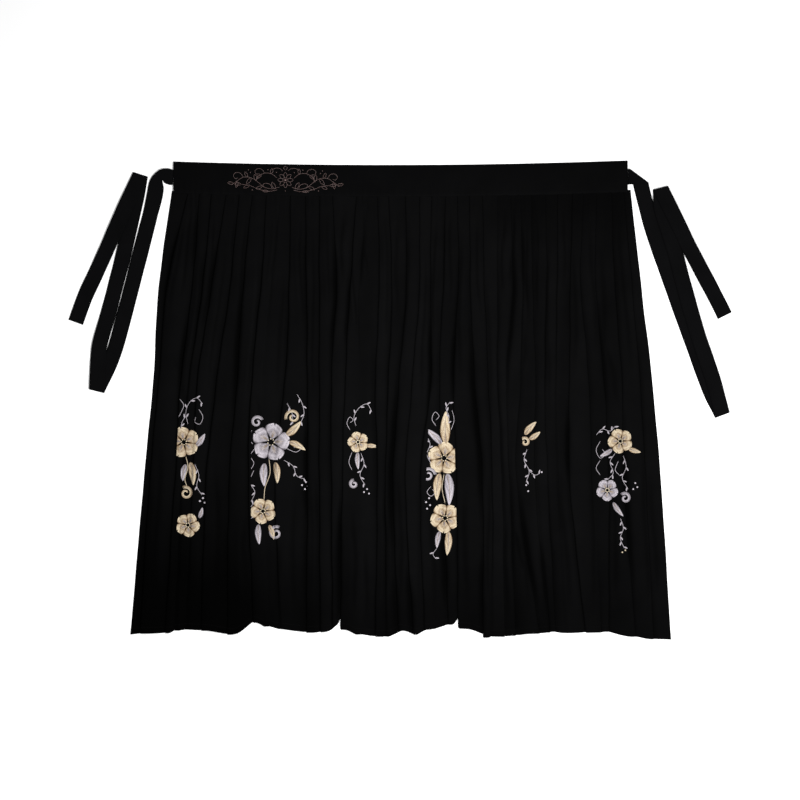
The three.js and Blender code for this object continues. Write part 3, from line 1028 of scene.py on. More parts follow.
    def surface(self, width: Width) -> tuple[np.ndarray, np.ndarray, np.ndarray]:
        """Works out one width's middle surface.

        Args:
            width: The width of cloth.

        Returns:
            Points, shape (rows, columns, 3), and the wall's thickness and the painted shade at each.
        """
        rows = self.shares
        line = self.rounded(self.control_line(width, rows))
        x, z, hem = line[..., 0], line[..., 1], line[..., 2]
        share = rows[:, None]
        raised = self.creased(x, share)
        lying = 0.25 + 0.75 * z / (2 * self.layer_step)
        slow = 0.5 + 0.5 * np.sin(x / 31 + 1.7 * np.sin(x / 83))
        at_seam = 0.42 + 0.2 * soft_step(0.004, 0.03, share)
        pressed = at_seam + 0.38 * soft_step(0.02, 0.16 + 0.12 * slow, share)
        height = np.maximum((z + raised * lying) * pressed, 0)
        top = BAND.line(x, -BAND.height / 2 + SEAM_TUCK)
        y = top + (hem - top) * share
        down = (1 - share) * (top - hem)
        wall = self.wall + self.hem_wall * (down < self.hem_depth)
        # Painted shade, for the cloth's material to darken its colour by.
        painted_shade = self.shade(x, share)
        grid = np.stack([x + self.sway(x, share), y, height + wall / 2], axis=2)
        return grid, wall, painted_shade

    def build(self, width: Width, material: bpy.types.Material) -> bpy.types.Object:
        """Makes one width as a piece that stands for its plain solid.

        Args:
            width: The width of cloth.
            material: Its material.

        Returns:
            The piece.
        """
        name = width.value[0]
        grid, wall, painted_shade = self.surface(width)
        self.grids[name] = grid
        piece = make_piece(name + "_cloth", shell(grid, wall, {"painted_shade": painted_shade}), material)
        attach(piece, ROOT)
        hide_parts(name)
        return piece

    def sew(self, thread: bpy.types.Material) -> bpy.types.Object:
        """Makes the stitches of the hem, and of the two side edges, on the face that shows.

        Args:
            thread: The sewing thread.

        Returns:
            All the stitches as one piece.
        """
        rows = []
        hem_row = int(np.argmin(np.abs((1 - self.shares) * CLOTH_LENGTH / MM - self.hem_stitch)))
        for name, grid in self.grids.items():
            normals = surface_normals(grid)
            wall = self.wall + self.hem_wall
            rows.append(stitches(grid[hem_row] + normals[hem_row] * wall / 2, normals[hem_row]))
            side = {"panel_left": 0, "panel_right": -1}.get(name)
            if side is not None:
                away = np.abs(grid[..., 0] - grid[:, side, None, 0])
                column = int(np.argmin(np.abs(away.mean(axis=0) - self.side_stitch)))
                lift = normals[:hem_row, column] * self.wall / 2
                rows.append(stitches(grid[:hem_row, column] + lift, normals[:hem_row, column]))
        sewn = make_piece("skirt_stitches", join(rows), thread)
        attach(sewn, ROOT)
        return sewn


def stitches(
    path: np.ndarray, normals: np.ndarray, pitch: float = 3.2, length: float = 2.3, radius: float = 0.26
) -> Form:
    """Lays a row of small rounded stitches on a path.

    Each stitch is a tube of five rings that narrows towards its ends, half sunk into the cloth.

    Args:
        path: Points of the path, shape (n, 3).
        normals: The cloth's normals there, shape (n, 3).
        pitch: From one stitch to the next.
        length: Length of a stitch.
        radius: Half its width.

    Returns:
        All the stitches as one form, with a shade of 0.5.
    """
    lengths = path_lengths(path)
    count = int((lengths[-1] - length) / pitch)
    at = length / 2 + pitch * (np.arange(count) + 0.25)

    def read(values: np.ndarray, place: np.ndarray) -> np.ndarray:
        """Reads values along the path, straight from point to point."""
        return np.stack([np.interp(place, lengths, values[:, k]) for k in range(3)], axis=1)

    along = unit(read(path, at + length / 2) - read(path, at - length / 2))
    side = unit(np.cross(read(normals, at), along))
    up = np.cross(along, side)
    places = np.array([-1, -0.85, 0, 0.85, 1]) * length / 2
    sizes = np.array([0.25, 0.75, 1, 0.75, 0.25]) * radius
    turn = ring_angles(THREAD_SIDES)
    one = tube(np.stack([
        np.repeat(places[:, None], THREAD_SIDES, axis=1),
        np.outer(sizes, np.cos(turn)),
        np.outer(sizes, np.sin(turn)) * 0.8,
    ], axis=2))
    size = len(one.points)
    axes = np.stack([along, side, up], axis=1)
    points = read(path, at)[:, None] + one.points @ axes
    starts = np.arange(count)[:, None, None] * size
    faces = [(part[None] + starts).reshape(-1, part.shape[1]) for part in one.faces]
    flat = np.stack([np.tile(turn, len(places)), one.points[:, 0]], axis=1)
    shade = {"shade": np.full(count * size, 0.5)}
    return Form(points.reshape(-1, 3), faces, np.tile(flat, (count, 1)), shade)


@dataclass
class Waistband:
    """The plain band: cloth folded double over its stiffening, thicker where the skirt is sewn in."""

    seam_thickness: float = 4.0
    top_thickness: float = 2.7
    crown: float = 0.5
    sections: int = 300
    across_points: int = 27
    stitch_inset: float = 3.0
    stitch_rows: tuple[float, float] = (-29.0, 29.5)

    def top(self, x: np.ndarray, offset: np.ndarray) -> np.ndarray:
        """Gives the height of the upper face.

        It is a slanted, crowned strip that is pressed in at the stitch lines and wavy at the seam.

        Args:
            x: Places along the band.
            offset: Places across it, from its centre line.

        Returns:
            The heights above the floor.
        """
        t = offset / (BAND.height / 2)
        thickness = self.seam_thickness + (self.top_thickness - self.seam_thickness) * (t + 1) / 2
        rounded = np.sqrt(np.clip(1 - np.abs(t) ** 14, 0, 1))
        long_waves = 0.3 * np.sin(x / 41 + 1.2 * np.sin(x / 97)) * np.cos(offset / 38)
        waves = long_waves + 0.2 * np.sin(x / 17 + offset / 12)
        puckers = 0.35 * np.sin(gather_phase(x)) * soft_step(0.1, -0.9, t)
        pressed = sum(0.4 * bell(offset - row, 1.1) for row in self.stitch_rows)
        return (thickness + self.crown * (1 - t * t) + waves + puckers - pressed) * rounded

    def build(self, cloth: bpy.types.Material, thread: bpy.types.Material) -> list[bpy.types.Object]:
        """Makes the band in place of its solid, and its two rows of stitches.

        Args:
            cloth: The band's cloth.
            thread: The sewing thread.

        Returns:
            The band and the stitches.
        """
        x = np.linspace(BAND.left, BAND.right, self.sections)[:, None]
        v = np.linspace(-1, 1, self.across_points)
        offset = (np.sin(np.pi / 2 * v) * BAND.height / 2)[None, :]
        upper = np.stack(np.broadcast_arrays(x, BAND.line(x, offset), self.top(x, offset)), axis=2)
        back = offset[:, -2:0:-1]
        lower = np.stack(np.broadcast_arrays(x, BAND.line(x, back), np.zeros_like(x * back)), axis=2)
        form = tube(np.concatenate([upper, lower], axis=1))
        # Painted shade: the band's face is painted darker along its lower edge, where the skirt is sewn in.
        edge = np.tile(np.append(soft_step(-0.94, -1, v), np.zeros(back.shape[1])), self.sections)
        form.values = {"painted_shade": 0.5 * edge}
        band = make_piece("waistband_cloth", form, cloth, sharp=1.0)
        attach(band, ROOT)
        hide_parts("waistband")
        lines = []
        along = np.linspace(BAND.left + self.stitch_inset, BAND.right - self.stitch_inset, self.sections)
        for row in self.stitch_rows:
            height = self.top(along, np.full_like(along, row))
            path = np.stack([along, BAND.line(along, row), height], axis=1)
            lines.append(stitches(path, np.tile([0.0, 0.0, 1.0], (len(along), 1))))
        sewn = make_piece("waistband_stitches", join(lines), thread)
        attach(sewn, ROOT)
        return [band, sewn]


@dataclass
class Tie:
    """A double strip of cloth that leaves the band's end and is folded over and back on itself.

    The rows give its centre line from the root: across, up, and layer. Folds are the numbers of the rows
    where it is folded over. Pinched gives the share of the full width at some of the rows.
    """

    name: str
    root: tuple[float, float]
    rows: list[tuple[float, float, float]]
    folds: tuple[int, ...]
    flat_length: float
    pinched: dict[int, float] = field(default_factory=dict)
    width: float = 31
    wall: float = 1.0
    step: float = 1.4
    rest: float = 0.25
    sample: float = 5
    columns: int = 11
    ripple: float = 0.22
    sideways: float = 0.14
    calm_end: float = 18
    stitch_column: int = 1

    def crossings(self) -> list[list[np.ndarray]]:
        """Works out the crosswise lines of each stretch between two folds, as pairs of edge points.

        At a fold the crease halves the turn, the cloth goes round it by half a layer's step, and its edges
        change sides. In a bend the line lies square to the mean direction.

        Returns:
            For each stretch, and each fold between two of them, a list of arrays of shape (2, 3).
        """
        places = np.array(self.rows)
        centres = places[:, :2] + self.root
        heights = self.rest + self.wall / 2 + places[:, 2] * self.step
        steps = unit(np.diff(centres, axis=0))
        parts, current, side = [], [], 1
        for i, (centre, height) in enumerate(zip(centres, heights)):
            onward = steps[min(i, len(steps) - 1)]
            inward = steps[max(i - 1, 0)]
            middle = unit(inward + onward)
            if i not in self.folds:
                across = np.array([-middle[1], middle[0]]) * self.width / 2 * self.pinched.get(i, 1)
                current.append(self.line(centre, across * side, height))
                continue
            crease = middle * self.width / 2 / (inward[0] * middle[1] - inward[1] * middle[0]) * side
            outward = unit(inward - onward) * self.step / 2
            over = heights[i + 1]
            turn = np.linspace(0, np.pi, 7)[1:-1]
            levels = (height + over) / 2 - (over - height) / 2 * np.cos(turn)
            parts.append([*current, self.line(centre, crease, height)])
            parts.append([self.line(centre + outward * np.sin(a), crease, z) for a, z in zip(turn, levels)])
            current = [self.line(centre, crease, over)]
            side = -side
        return [*parts, current]

    @staticmethod
    def line(centre: np.ndarray, half: np.ndarray, z: float) -> np.ndarray:
        """One crosswise line as its two edge points, shape (2, 3)."""
        return np.array([[*(centre + half), z], [*(centre - half), z]])

    def surface(self) -> np.ndarray:
        """Works out the middle surface, smooth along each stretch and softly wavy.

        Returns:
            Its points, shape (rows, columns, 3).
        """
        drawn = []
        for number, part in enumerate(self.crossings()):
            lines = np.array(part)
            if number % 2 == 0:
                places = path_lengths(lines.mean(axis=1))
                at = np.linspace(0, places[-1], max(int(places[-1] / self.sample), 4))
                lines = smooth_curve(places, lines.reshape(len(lines), 6), at).reshape(-1, 2, 3)
                waves = np.sin(at / 23 + number) + 0.6 * np.sin(at / 9.5 + 2 * number)
                ending = soft_step(places[-1] - self.calm_end, places[-1], at)
                calm = soft_step(0, self.calm_end, at) * (1 - ending)
                lines[..., 2] += self.ripple * ((waves + 1.6) * calm)[:, None]
                side = np.stack([waves, -np.roll(waves, 3)], axis=1) * self.sideways * calm[:, None]
                lines += unit(lines[:, 0] - lines[:, 1])[:, None] * side[..., None]
            drawn.append(lines)
        edges = np.concatenate(drawn)
        v = np.linspace(-1, 1, self.columns)
        v = (np.sin(np.pi / 2 * v) * 0.6 + v * 0.4 + 1) / 2
        grid = edges[:, :1] + (edges[:, 1:] - edges[:, :1]) * v[None, :, None]
        grid[..., 2] = np.maximum(grid[..., 2], self.wall / 2 + self.rest)
        return grid

    def build(self, cloth: bpy.types.Material, thread: bpy.types.Material) -> list[bpy.types.Object]:
        """Makes the tie in place of its solid, and the stitches along its sewn edge on both faces.

        Args:
            cloth: The tie's cloth.
            thread: The sewing thread.

        Returns:
            The tie and its stitches.
        """
        grid = self.surface()
        v = np.linspace(-1, 1, self.columns)
        wall = self.wall * np.sqrt(1 - 0.85 * np.abs(v) ** 6)[None, :] * np.ones((len(grid), 1))
        # Painted shade: the tie is painted darker towards its two long edges.
        painted_shade = 0.35 * soft_step(0.55, 1, np.abs(v))[None, :] * np.ones((len(grid), 1))
        piece = make_piece(self.name + "_cloth", shell(grid, wall, {"painted_shade": painted_shade}), cloth)
        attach(piece, ROOT)
        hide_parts(self.name)
        normals = surface_normals(grid)
        edge = self.stitch_column
        lift = normals[:, edge] * wall[:, edge, None] / 2
        forms = [stitches(grid[:, edge] + sign * lift, sign * normals[:, edge]) for sign in (1, -1)]
        sewn = make_piece(self.name + "_stitches", join(forms), thread)
        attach(sewn, ROOT)
        return [piece, sewn]


LEFT_TIE = Tie(
    "tie_left",
    (BAND.left - SEAM_GAP, float(BAND.line(BAND.left, -1))),
    [
        (0, 1, 1), (-5, 1.2, 1), (-13, 4, 1), (-23, 6, 1), (-30, 1, 0.7),
        (-33.5, -7, 0.4), (-34.6, -19, 0), (-37.6, -38, 0), (-45.2, -70, 0),
        (-69.7, -166, 0), (-94.5, -262, 0), (-121, -356, 0), (-153, -425.5, 0),
        (-149, -346, 1), (-145, -325, 1), (-128.9, -268, 0), (-113, -206, 0),
        (-102.6, -166, 0), (-74.5, -44, 0), (-65.8, 6, 0), (-90.5, -46, 1),
        (-132.5, -142, 1), (-154.4, -190, 0), (-176.5, -238, 0),
        (-195.1, -288.8, 0),
    ],
    (12, 19),
    1.24,
    {2: 0.98, 3: 0.72, 4: 0.66, 5: 0.85, 6: 1.02, 7: 1.04},
)
RIGHT_TIE = Tie(
    "tie_right",
    (BAND.right + SEAM_GAP, float(BAND.line(BAND.right, -1))),
    [
        (0, 0, 1), (1.5, 0, 1), (22.5, 1.5, 1), (33.7, -46, 0),
        (46.9, -96, 0), (62.6, -144, 0), (96.7, -240, 0), (131.2, -336, 0),
        (167, -432, 0), (189, -475.5, 0), (171, -408, 1), (139, -312, 1),
        (111.6, -216, 1), (101.2, -176, 1), (93, -144, 1), (77.5, -96, 1),
        (66.5, -58, 1), (65.5, -22.8, 1), (101.2, -96, 2), (118.5, -132, 2),
        (139, -172, 2), (179.5, -248, 0), (194.2, -277.5, 0),
    ],
    (2, 9, 17),
    1.28,
)


class Cover:
    """Height of the uppermost cloth, kept on a grid across and down the skirt."""

    left, low, step_x, step_y = -560.0, -500.0, 1.0, 5.0
    columns, rows = 1121, 190

    def __init__(self, grids: list[np.ndarray], wall: float) -> None:
        """Lays the middle surfaces' points, and more read between them, into the grid. The highest stays.

        Args:
            grids: Middle surfaces, each of shape (rows, columns, 3).
            wall: The cloth's thickness.
        """
        heights = np.zeros((self.rows, self.columns))
        for grid in grids:
            for v in np.arange(3) / 3:
                down = grid[:-1] * (1 - v) + grid[1:] * v
                for u in np.arange(6) / 6:
                    x, y, z = np.moveaxis(down[:, :-1] * (1 - u) + down[:, 1:] * u, 2, 0)
                    row = np.rint((y - self.low) / self.step_y).astype(int)
                    column = np.rint((x - self.left) / self.step_x).astype(int)
                    np.maximum.at(heights, (row, column), z + wall / 2)
        padded = np.pad(heights, 1, mode="edge")
        around = [padded[a:a + self.rows, b:b + self.columns] for a in range(3) for b in range(3)]
        self.heights = np.max(around, axis=0)

    def read(self, x: np.ndarray, y: np.ndarray) -> np.ndarray:
        """Gives the height of the uppermost cloth, straight between the grid's points.

        Args:
            x: Places across, in millimetres.
            y: Places up the picture, in millimetres.

        Returns:
            The heights there, in millimetres.
        """
        across = np.clip((x - self.left) / self.step_x, 0, self.columns - 1.001)
        down = np.clip((y - self.low) / self.step_y, 0, self.rows - 1.001)
        i, j = down.astype(int), across.astype(int)
        a, b = down - i, across - j
        near = self.heights[i, j] * (1 - b) + self.heights[i, j + 1] * b
        far = self.heights[i + 1, j] * (1 - b) + self.heights[i + 1, j + 1] * b
        return near * (1 - a) + far * a


class Tone(Enum):
    """The threads of the embroidery, by the record's slot."""

    GOLD = "gold_thread"
    SILVER = "silver_thread"
    BRONZE = "bronze_thread"

    @property
    def other(self) -> "Tone":
        """The thread that goes with this one."""
        return Tone.SILVER if self is Tone.GOLD else Tone.GOLD


BLADE_ROWS, BLADE_COLUMNS = 18, 11
KNOT_RINGS, KNOT_SIDES = 7, 12


def heading(degrees: float) -> np.ndarray:
    """Unit vector at an angle from +X towards +Y."""
    return np.array([np.cos(np.radians(degrees)), np.sin(np.radians(degrees))])


def blade(
    root: np.ndarray, turn: float, length: float, width: float, full: float = 1.0, bend: float = 0.0,
    notch: float = 0.0, lift: float = 0.0, shades: tuple[float, float] = (0.1, 0.95),
) -> Form:
    """Makes a satin-stitched leaf or petal, flat on z = 0 with a crown.

    Its middle runs length·u along its heading and bend·length·u² to its left. It is width/2·sin(π·uᶠ)^0.75
    wide on each side, with f the fullness.

    Args:
        root: Where it starts.
        turn: Its heading in degrees.
        length: Its length.
        width: Its greatest width.
        full: Above 1 it is widest towards the tip, below 1 towards the root.
        bend: How much it curves to its left.
        notch: Share of the length by which the middle of the tip is cut in.
        lift: How far it lies above the cloth.
        shades: Tone at the root and at the tip.

    Returns:
        A closed form with its shade.
    """
    u = np.linspace(0.02, 0.985, BLADE_ROWS)[:, None]
    v = np.linspace(-1, 1, BLADE_COLUMNS)[None, :]
    ahead, left = heading(turn), heading(turn + 90)
    half = width / 2 * np.sin(np.pi * u**full) ** 0.75
    along = length * u * (1 - notch * u**3 * bell(v, 0.45))
    aside = bend * length * u**2 + half * v
    grid = np.zeros((u.size, v.size, 3))
    grid[..., :2] = root + along[..., None] * ahead + aside[..., None] * left
    wall = 0.25 + 0.95 * np.sqrt(np.clip(1 - v**2, 0, 1)) * np.sin(np.pi * u) ** 0.4
    grid[..., 2] = lift + wall / 2
    bands = 0.18 * np.sin(2 * np.pi * (2.6 * u + 1.3 * np.abs(v)))
    outline = 0.6 * np.abs(v) ** 9
    tone = shades[0] + (shades[1] - shades[0]) * (0.75 * u**1.3 + 0.25 * v**2) + bands - outline
    form = shell(grid, wall, {"shade": tone * np.ones_like(wall)})
    place = np.stack([half * v, along + 0.6 * np.abs(v) * half], axis=2)
    form.cloth = np.tile(place.reshape(-1, 2), (2, 1))
    return form


def drawn_line(
    points: list[tuple[float, float]], width: float, shade: float = 0.6, lift: float = 0.0
) -> Form:
    """Makes a line of stem stitch through given points, as a rounded tube that tapers at both ends.

    Args:
        points: Points in the plane, joined by a smooth curve.
        width: Its width.
        shade: Its tone.
        lift: How far it lies above the cloth.

    Returns:
        A closed form with its shade.
    """
    given = np.asarray(points, float)
    places = path_lengths(given)
    at = np.linspace(0, places[-1], int(np.clip(places[-1] / 1.6, 8, 90)))
    middle = smooth_curve(places, given, at)
    ahead = unit(np.gradient(middle, axis=0))
    left = np.stack([-ahead[:, 1], ahead[:, 0]], axis=1)
    ends = np.minimum(at, places[-1] - at)
    half = width / 2 * (0.3 + 0.7 * soft_step(0, 3 * width, ends))
    turn = ring_angles(THREAD_SIDES)
    rings = np.zeros((len(at), THREAD_SIDES, 3))
    rings[..., :2] = middle[:, None] - (half[:, None] * np.cos(turn))[..., None] * left[:, None]
    rings[..., 2] = lift + 0.15 + half[:, None] * 0.8 * (np.sin(turn) + 0.6)
    form = tube(rings)
    along = np.repeat(at, THREAD_SIDES)
    form.cloth = np.stack([along, along + np.tile(turn, len(at)) * 0.3], axis=1)
    form.values = {"shade": np.full(len(form.points), shade)}
    return form


def knot(centre: tuple[float, float], radius: float, shade: float = 0.8, lift: float = 0.0) -> Form:
    """Makes a round knot: rings on a flattened ball, closed by a small flat top and bottom.

    Args:
        centre: Its centre in the plane.
        radius: Its radius.
        shade: Its tone.
        lift: How far it lies above the cloth.

    Returns:
        A closed form with its shade.
    """
    rise = np.radians(np.linspace(-70, 80, KNOT_RINGS))
    turn = -ring_angles(KNOT_SIDES)
    rings = np.zeros((KNOT_RINGS, KNOT_SIDES, 3))
    rings[..., 0] = centre[0] + radius * np.cos(rise)[:, None] * np.cos(turn)
    rings[..., 1] = centre[1] + radius * np.cos(rise)[:, None] * np.sin(turn)
    rings[..., 2] = lift + 0.2 + min(radius, 1.1) * 0.7 * (np.sin(rise)[:, None] + 0.9)
    form = tube(rings)
    form.values = {"shade": np.full(len(form.points), shade)}
    return form


@dataclass(frozen=True)
class Blossom:
    """An open flower with notched petals, veins, and a ring of knots round its heart."""

    centre: tuple[float, float]
    radius: float
    turn: float = 90
    tone: Tone = Tone.GOLD
    petals: int = 5
    knots: int = 7

    def forms(self) -> dict[Tone, list[Form]]:
        """Gives the flower's stitched shapes by thread.

        Returns:
            The petals in its own thread, the veins in the other one, and the knots in gold.
        """
        made: dict[Tone, list[Form]] = {Tone.GOLD: [], Tone.SILVER: []}
        middle = np.array(self.centre)
        for k in range(self.petals):
            turn = self.turn + 360 / self.petals * k
            wide = 2 * np.pi * self.radius / self.petals * 0.73
            root = middle + heading(turn) * self.radius * 0.12
            petal = blade(root, turn, self.radius * 0.9, wide, 1.5, 0.06, 0.14, 0.12 * (k % 2))
            made[self.tone].append(petal)
            for fan in (-16, 0, 16):
                reach = [self.radius * r for r in (0.24, 0.45, 0.66 - abs(fan) * 0.004)]
                vein = [tuple(middle + heading(turn + fan * r / self.radius) * r) for r in reach]
                made[self.tone.other].append(drawn_line(vein, 0.8, 0.35, 0.95))
        for k in range(self.knots):
            place = middle + heading(self.turn + 20 + 360 / self.knots * k) * self.radius * 0.17
            made[Tone.GOLD].append(knot(tuple(place), 1.2, 0.95, 0.9))
        return made


@dataclass(frozen=True)
class Leaf:
    """A long leaf: two rows of satin stitch that meet along a drawn rib."""

    root: tuple[float, float]
    length: float
    turn: float
    width: float
    bend: float = 0.15
    tone: Tone = Tone.SILVER

    def forms(self) -> dict[Tone, list[Form]]:
        """Gives the leaf's stitched shapes by thread.

        Returns:
            The leaf in its own thread, and its rib in the other one.
        """
        root = np.array(self.root)
        body = blade(root, self.turn, self.length, self.width, 0.8, self.bend, shades=(0.25, 0.9))
        u = np.linspace(0.05, 0.85, 6)[:, None]
        left = heading(self.turn + 90)
        rib = root + self.length * u * heading(self.turn) + self.bend * self.length * u**2 * left
        return {self.tone: [body], self.tone.other: [drawn_line(rib.tolist(), 0.8, 0.2, 1.0)]}


@dataclass(frozen=True)
class Curl:
    """A ribbon of drawn lines that rolls up into a spiral, whose outer line has radius·(1 − 0.72·share)."""

    centre: tuple[float, float]
    radius: float
    start: float
    turns: float = 1.2
    hand: int = 1
    tone: Tone = Tone.GOLD
    lines: int = 4
    apart: float = 1.5

    def forms(self) -> dict[Tone, list[Form]]:
        """Gives the ribbon's lines by thread.

        Returns:
            Its lines, each inside the last and lighter.
        """
        share = np.linspace(0, 1, 26)
        angle = np.radians(self.start) + self.hand * share * self.turns * 2 * np.pi
        made = []
        for k in range(self.lines):
            reach = self.radius * (1 - 0.72 * share) - k * self.apart * (1 - 0.5 * share)
            x = self.centre[0] + reach * np.cos(angle)
            y = self.centre[1] + reach * np.sin(angle)
            made.append(drawn_line(np.stack([x, y], axis=1).tolist(), 1.35, 0.25 + 0.2 * k))
        return {self.tone: made}


@dataclass(frozen=True)
class Tendril:
    """A thin drawn line with a few small leaves beside it, on alternate sides."""

    points: list[tuple[float, float]]
    leaves: int = 0
    tone: Tone = Tone.SILVER
    width: float = 1.0

    def forms(self) -> dict[Tone, list[Form]]:
        """Gives the line and its leaves by thread.

        Returns:
            The line, and a blade for each leaf.
        """
        made = [drawn_line(self.points, self.width, 0.7)]
        given = np.asarray(self.points, float)
        places = np.arange(len(given))
        for k in range(self.leaves):
            at = (k + 0.7) / self.leaves * (len(given) - 1)
            root, ahead = smooth_curve(places, given, np.array([at, min(at + 0.1, len(given) - 1.0)]))
            turn = np.degrees(np.arctan2(*(ahead - root)[::-1])) + (42 if k % 2 else -42)
            made.append(blade(root, turn, 8.5, 3.0, 0.9, shades=(0.4, 0.9)))
        return {self.tone: made}


@dataclass(frozen=True)
class Berries:
    """Small knots on places of their own."""

    places: list[tuple[float, float]]
    radius: float = 1.6
    tone: Tone = Tone.GOLD

    def forms(self) -> dict[Tone, list[Form]]:
        """Gives the knots by thread."""
        return {self.tone: [knot(place, self.radius) for place in self.places]}


@dataclass(frozen=True)
class Patch:
    """Embroidery that shows between two folds, which hide what lies past them."""

    first_fold: int
    last_fold: int
    motifs: list


PATCHES = [
    Patch(1, 4, [
        Tendril([(-424, -48), (-428, -24), (-420, -4), (-406, 4), (-394, -8)], 5),
        Tendril([(-438, -70), (-436, -46), (-428, -32)], 2),
        Blossom((-432, -84), 31, 100),
        Tendril([(-428, -112), (-424, -134), (-430, -158), (-426, -172)], 0, Tone.GOLD, 1.4),
        Tendril([(-440, 2), (-432, -10), (-436, -22), (-442, -34)], 0),
        Tendril([(-402, -18), (-394, -34), (-400, -48), (-410, -44), (-408, -34)], 0),
        Leaf((-408, -92), 30, 42, 12, 0.2),
        Leaf((-420, -124), 46, -70, 15, -0.2, Tone.GOLD),
        Leaf((-428, -128), 34, -112, 12, 0.2),
        Tendril([(-410, -128), (-402, -150), (-406, -172), (-396, -190)], 4),
        Berries([(-394, -196), (-400, -202), (-391, -205)], 2.0, Tone.SILVER),
        Curl((-428, -186), 15, 120, 1.3, -1),
        Blossom((-424, -250), 24, 60),
        Leaf((-402, -236), 22, 60, 9, 0.2),
    ]),
    Patch(6, 9, [
        Tendril([(-206, 12), (-196, -6), (-192, -28), (-200, -48)], 4),
        Tendril([(-226, -6), (-216, -26), (-214, -48)], 3),
        Blossom((-258, -84), 38, 75, Tone.SILVER),
        Tendril([(-290, -96), (-299, -112), (-292, -126), (-300, -142)], 0),
        Tendril([(-296, -60), (-302, -76), (-294, -88)], 0),
        Tendril([(-262, -118), (-260, -146), (-270, -176), (-272, -200)], 0, Tone.GOLD, 1.4),
        Tendril([(-228, -96), (-208, -104), (-198, -96), (-206, -88), (-212, -96)], 0),
        Tendril([(-292, -206), (-302, -220), (-298, -236), (-290, -230)], 0),
        Leaf((-228, -70), 40, 28, 15, 0.25, Tone.GOLD),
        Leaf((-222, -84), 36, -12, 13, -0.25, Tone.GOLD),
        Curl((-214, -34), 17, 200, 1.25, -1),
        Curl((-286, -44), 14, 20, 1.2, 1, Tone.SILVER),
        Leaf((-270, -126), 46, -104, 16, 0.22),
        Leaf((-250, -124), 42, -72, 14, -0.2, Tone.GOLD),
        Tendril([(-232, -120), (-214, -132), (-206, -152), (-190, -158)], 5),
        Berries([(-188, -164), (-196, -170), (-184, -172), (-190, -178)], 1.9, Tone.SILVER),
        Tendril([(-292, -140), (-300, -164), (-290, -184), (-298, -204)], 4),
        Blossom((-274, -222), 26, 40, Tone.GOLD),
        Curl((-248, -266), 16, 60, 1.3, 1, Tone.SILVER),
        Leaf((-282, -248), 40, -100, 13, 0.2),
        Leaf((-262, -250), 30, -60, 11, -0.2, Tone.GOLD),
    ]),
    Patch(12, 14, [
        Tendril([(-88, -52), (-92, -34), (-82, -16), (-66, -8), (-56, -24)], 5),
        Blossom((-84, -84), 21, 30),
        Tendril([(-100, -60), (-106, -46), (-100, -34), (-94, -40), (-100, -46)], 0),
        Tendril([(-96, -104), (-102, -124), (-96, -140)], 0),
        Leaf((-68, -92), 24, 8, 9, -0.2, Tone.GOLD),
        Leaf((-84, -104), 34, -100, 10, 0.2),
        Tendril([(-78, -106), (-72, -128), (-80, -150), (-70, -170)], 5),
        Berries([(-66, -178), (-72, -184), (-62, -187)], 1.8, Tone.SILVER),
        Curl((-92, -168), 11, 90, 1.2, 1, Tone.SILVER),
    ]),
    Patch(18, 20, [
        Tendril([(92, -56), (98, -34), (92, -16), (100, -4)], 5),
        Leaf((92, -88), 66, 96, 20, -0.1, Tone.GOLD),
        Leaf((84, -90), 46, 124, 14, 0.2),
        Blossom((88, -116), 33, 80),
        Tendril([(88, -148), (84, -176), (90, -206)], 0, Tone.GOLD, 1.4),
        Tendril([(62, -172), (54, -184), (62, -192), (70, -184), (64, -178)], 0),
        Tendril([(72, -52), (64, -38), (70, -24), (78, -32), (72, -40)], 0),
        Tendril([(104, -20), (108, -40), (102, -60)], 0),
        Leaf((80, -146), 54, -108, 17, 0.2, Tone.GOLD),
        Leaf((94, -146), 64, -76, 19, -0.18),
        Curl((56, -150), 17, 0, 1.35, 1, Tone.SILVER),
        Tendril([(62, -128), (54, -108), (60, -88), (52, -70)], 5),
        Blossom((90, -236), 30, 45),
        Leaf((96, -262), 48, -84, 15, -0.15, Tone.GOLD),
        Leaf((80, -262), 34, -112, 11, 0.2),
        Berries([(58, -196), (52, -204), (60, -210), (54, -217)], 1.9, Tone.SILVER),
        Tendril([(74, -296), (66, -308), (72, -318)], 2),
    ]),
    Patch(25, 27, [
        Leaf((250, -70), 34, 64, 13, -0.25, Tone.GOLD),
        Leaf((258, -78), 26, 22, 11, 0.2, Tone.GOLD),
        Curl((250, -84), 12, 180, 1.2, -1),
        Tendril([(254, -98), (248, -120), (258, -142), (252, -164)], 6),
        Tendril([(258, -142), (270, -150), (280, -146)], 2),
        Berries([(252, -170), (246, -178), (256, -182), (283, -144)], 1.8, Tone.SILVER),
    ]),
    Patch(30, 33, [
        Tendril([(392, -70), (404, -58), (420, -62), (430, -52)], 5),
        Blossom((440, -82), 25, 110),
        Tendril([(400, -82), (392, -100), (400, -116), (410, -108), (404, -98)], 0),
        Tendril([(400, -120), (392, -136), (400, -150)], 0),
        Tendril([(436, -122), (430, -140), (438, -150)], 0),
        Leaf((456, -96), 26, -30, 10, 0.2, Tone.GOLD),
        Leaf((424, -98), 28, -138, 10, -0.2),
        Tendril([(430, -106), (420, -124), (426, -146), (414, -160)], 5),
        Tendril([(446, -110), (452, -134), (444, -156), (456, -178)], 5),
        Blossom((414, -180), 22, 50, Tone.SILVER),
        Curl((450, -196), 13, 140, 1.25, -1, Tone.SILVER),
        Berries([(470, -166), (474, -174), (466, -178)], 1.8, Tone.SILVER),
        Leaf((426, -204), 34, -66, 10, 0.2),
        Tendril([(440, -236), (446, -256), (440, -276), (448, -296)], 6),
        Berries([(450, -300), (444, -304)], 1.6),
    ]),
]


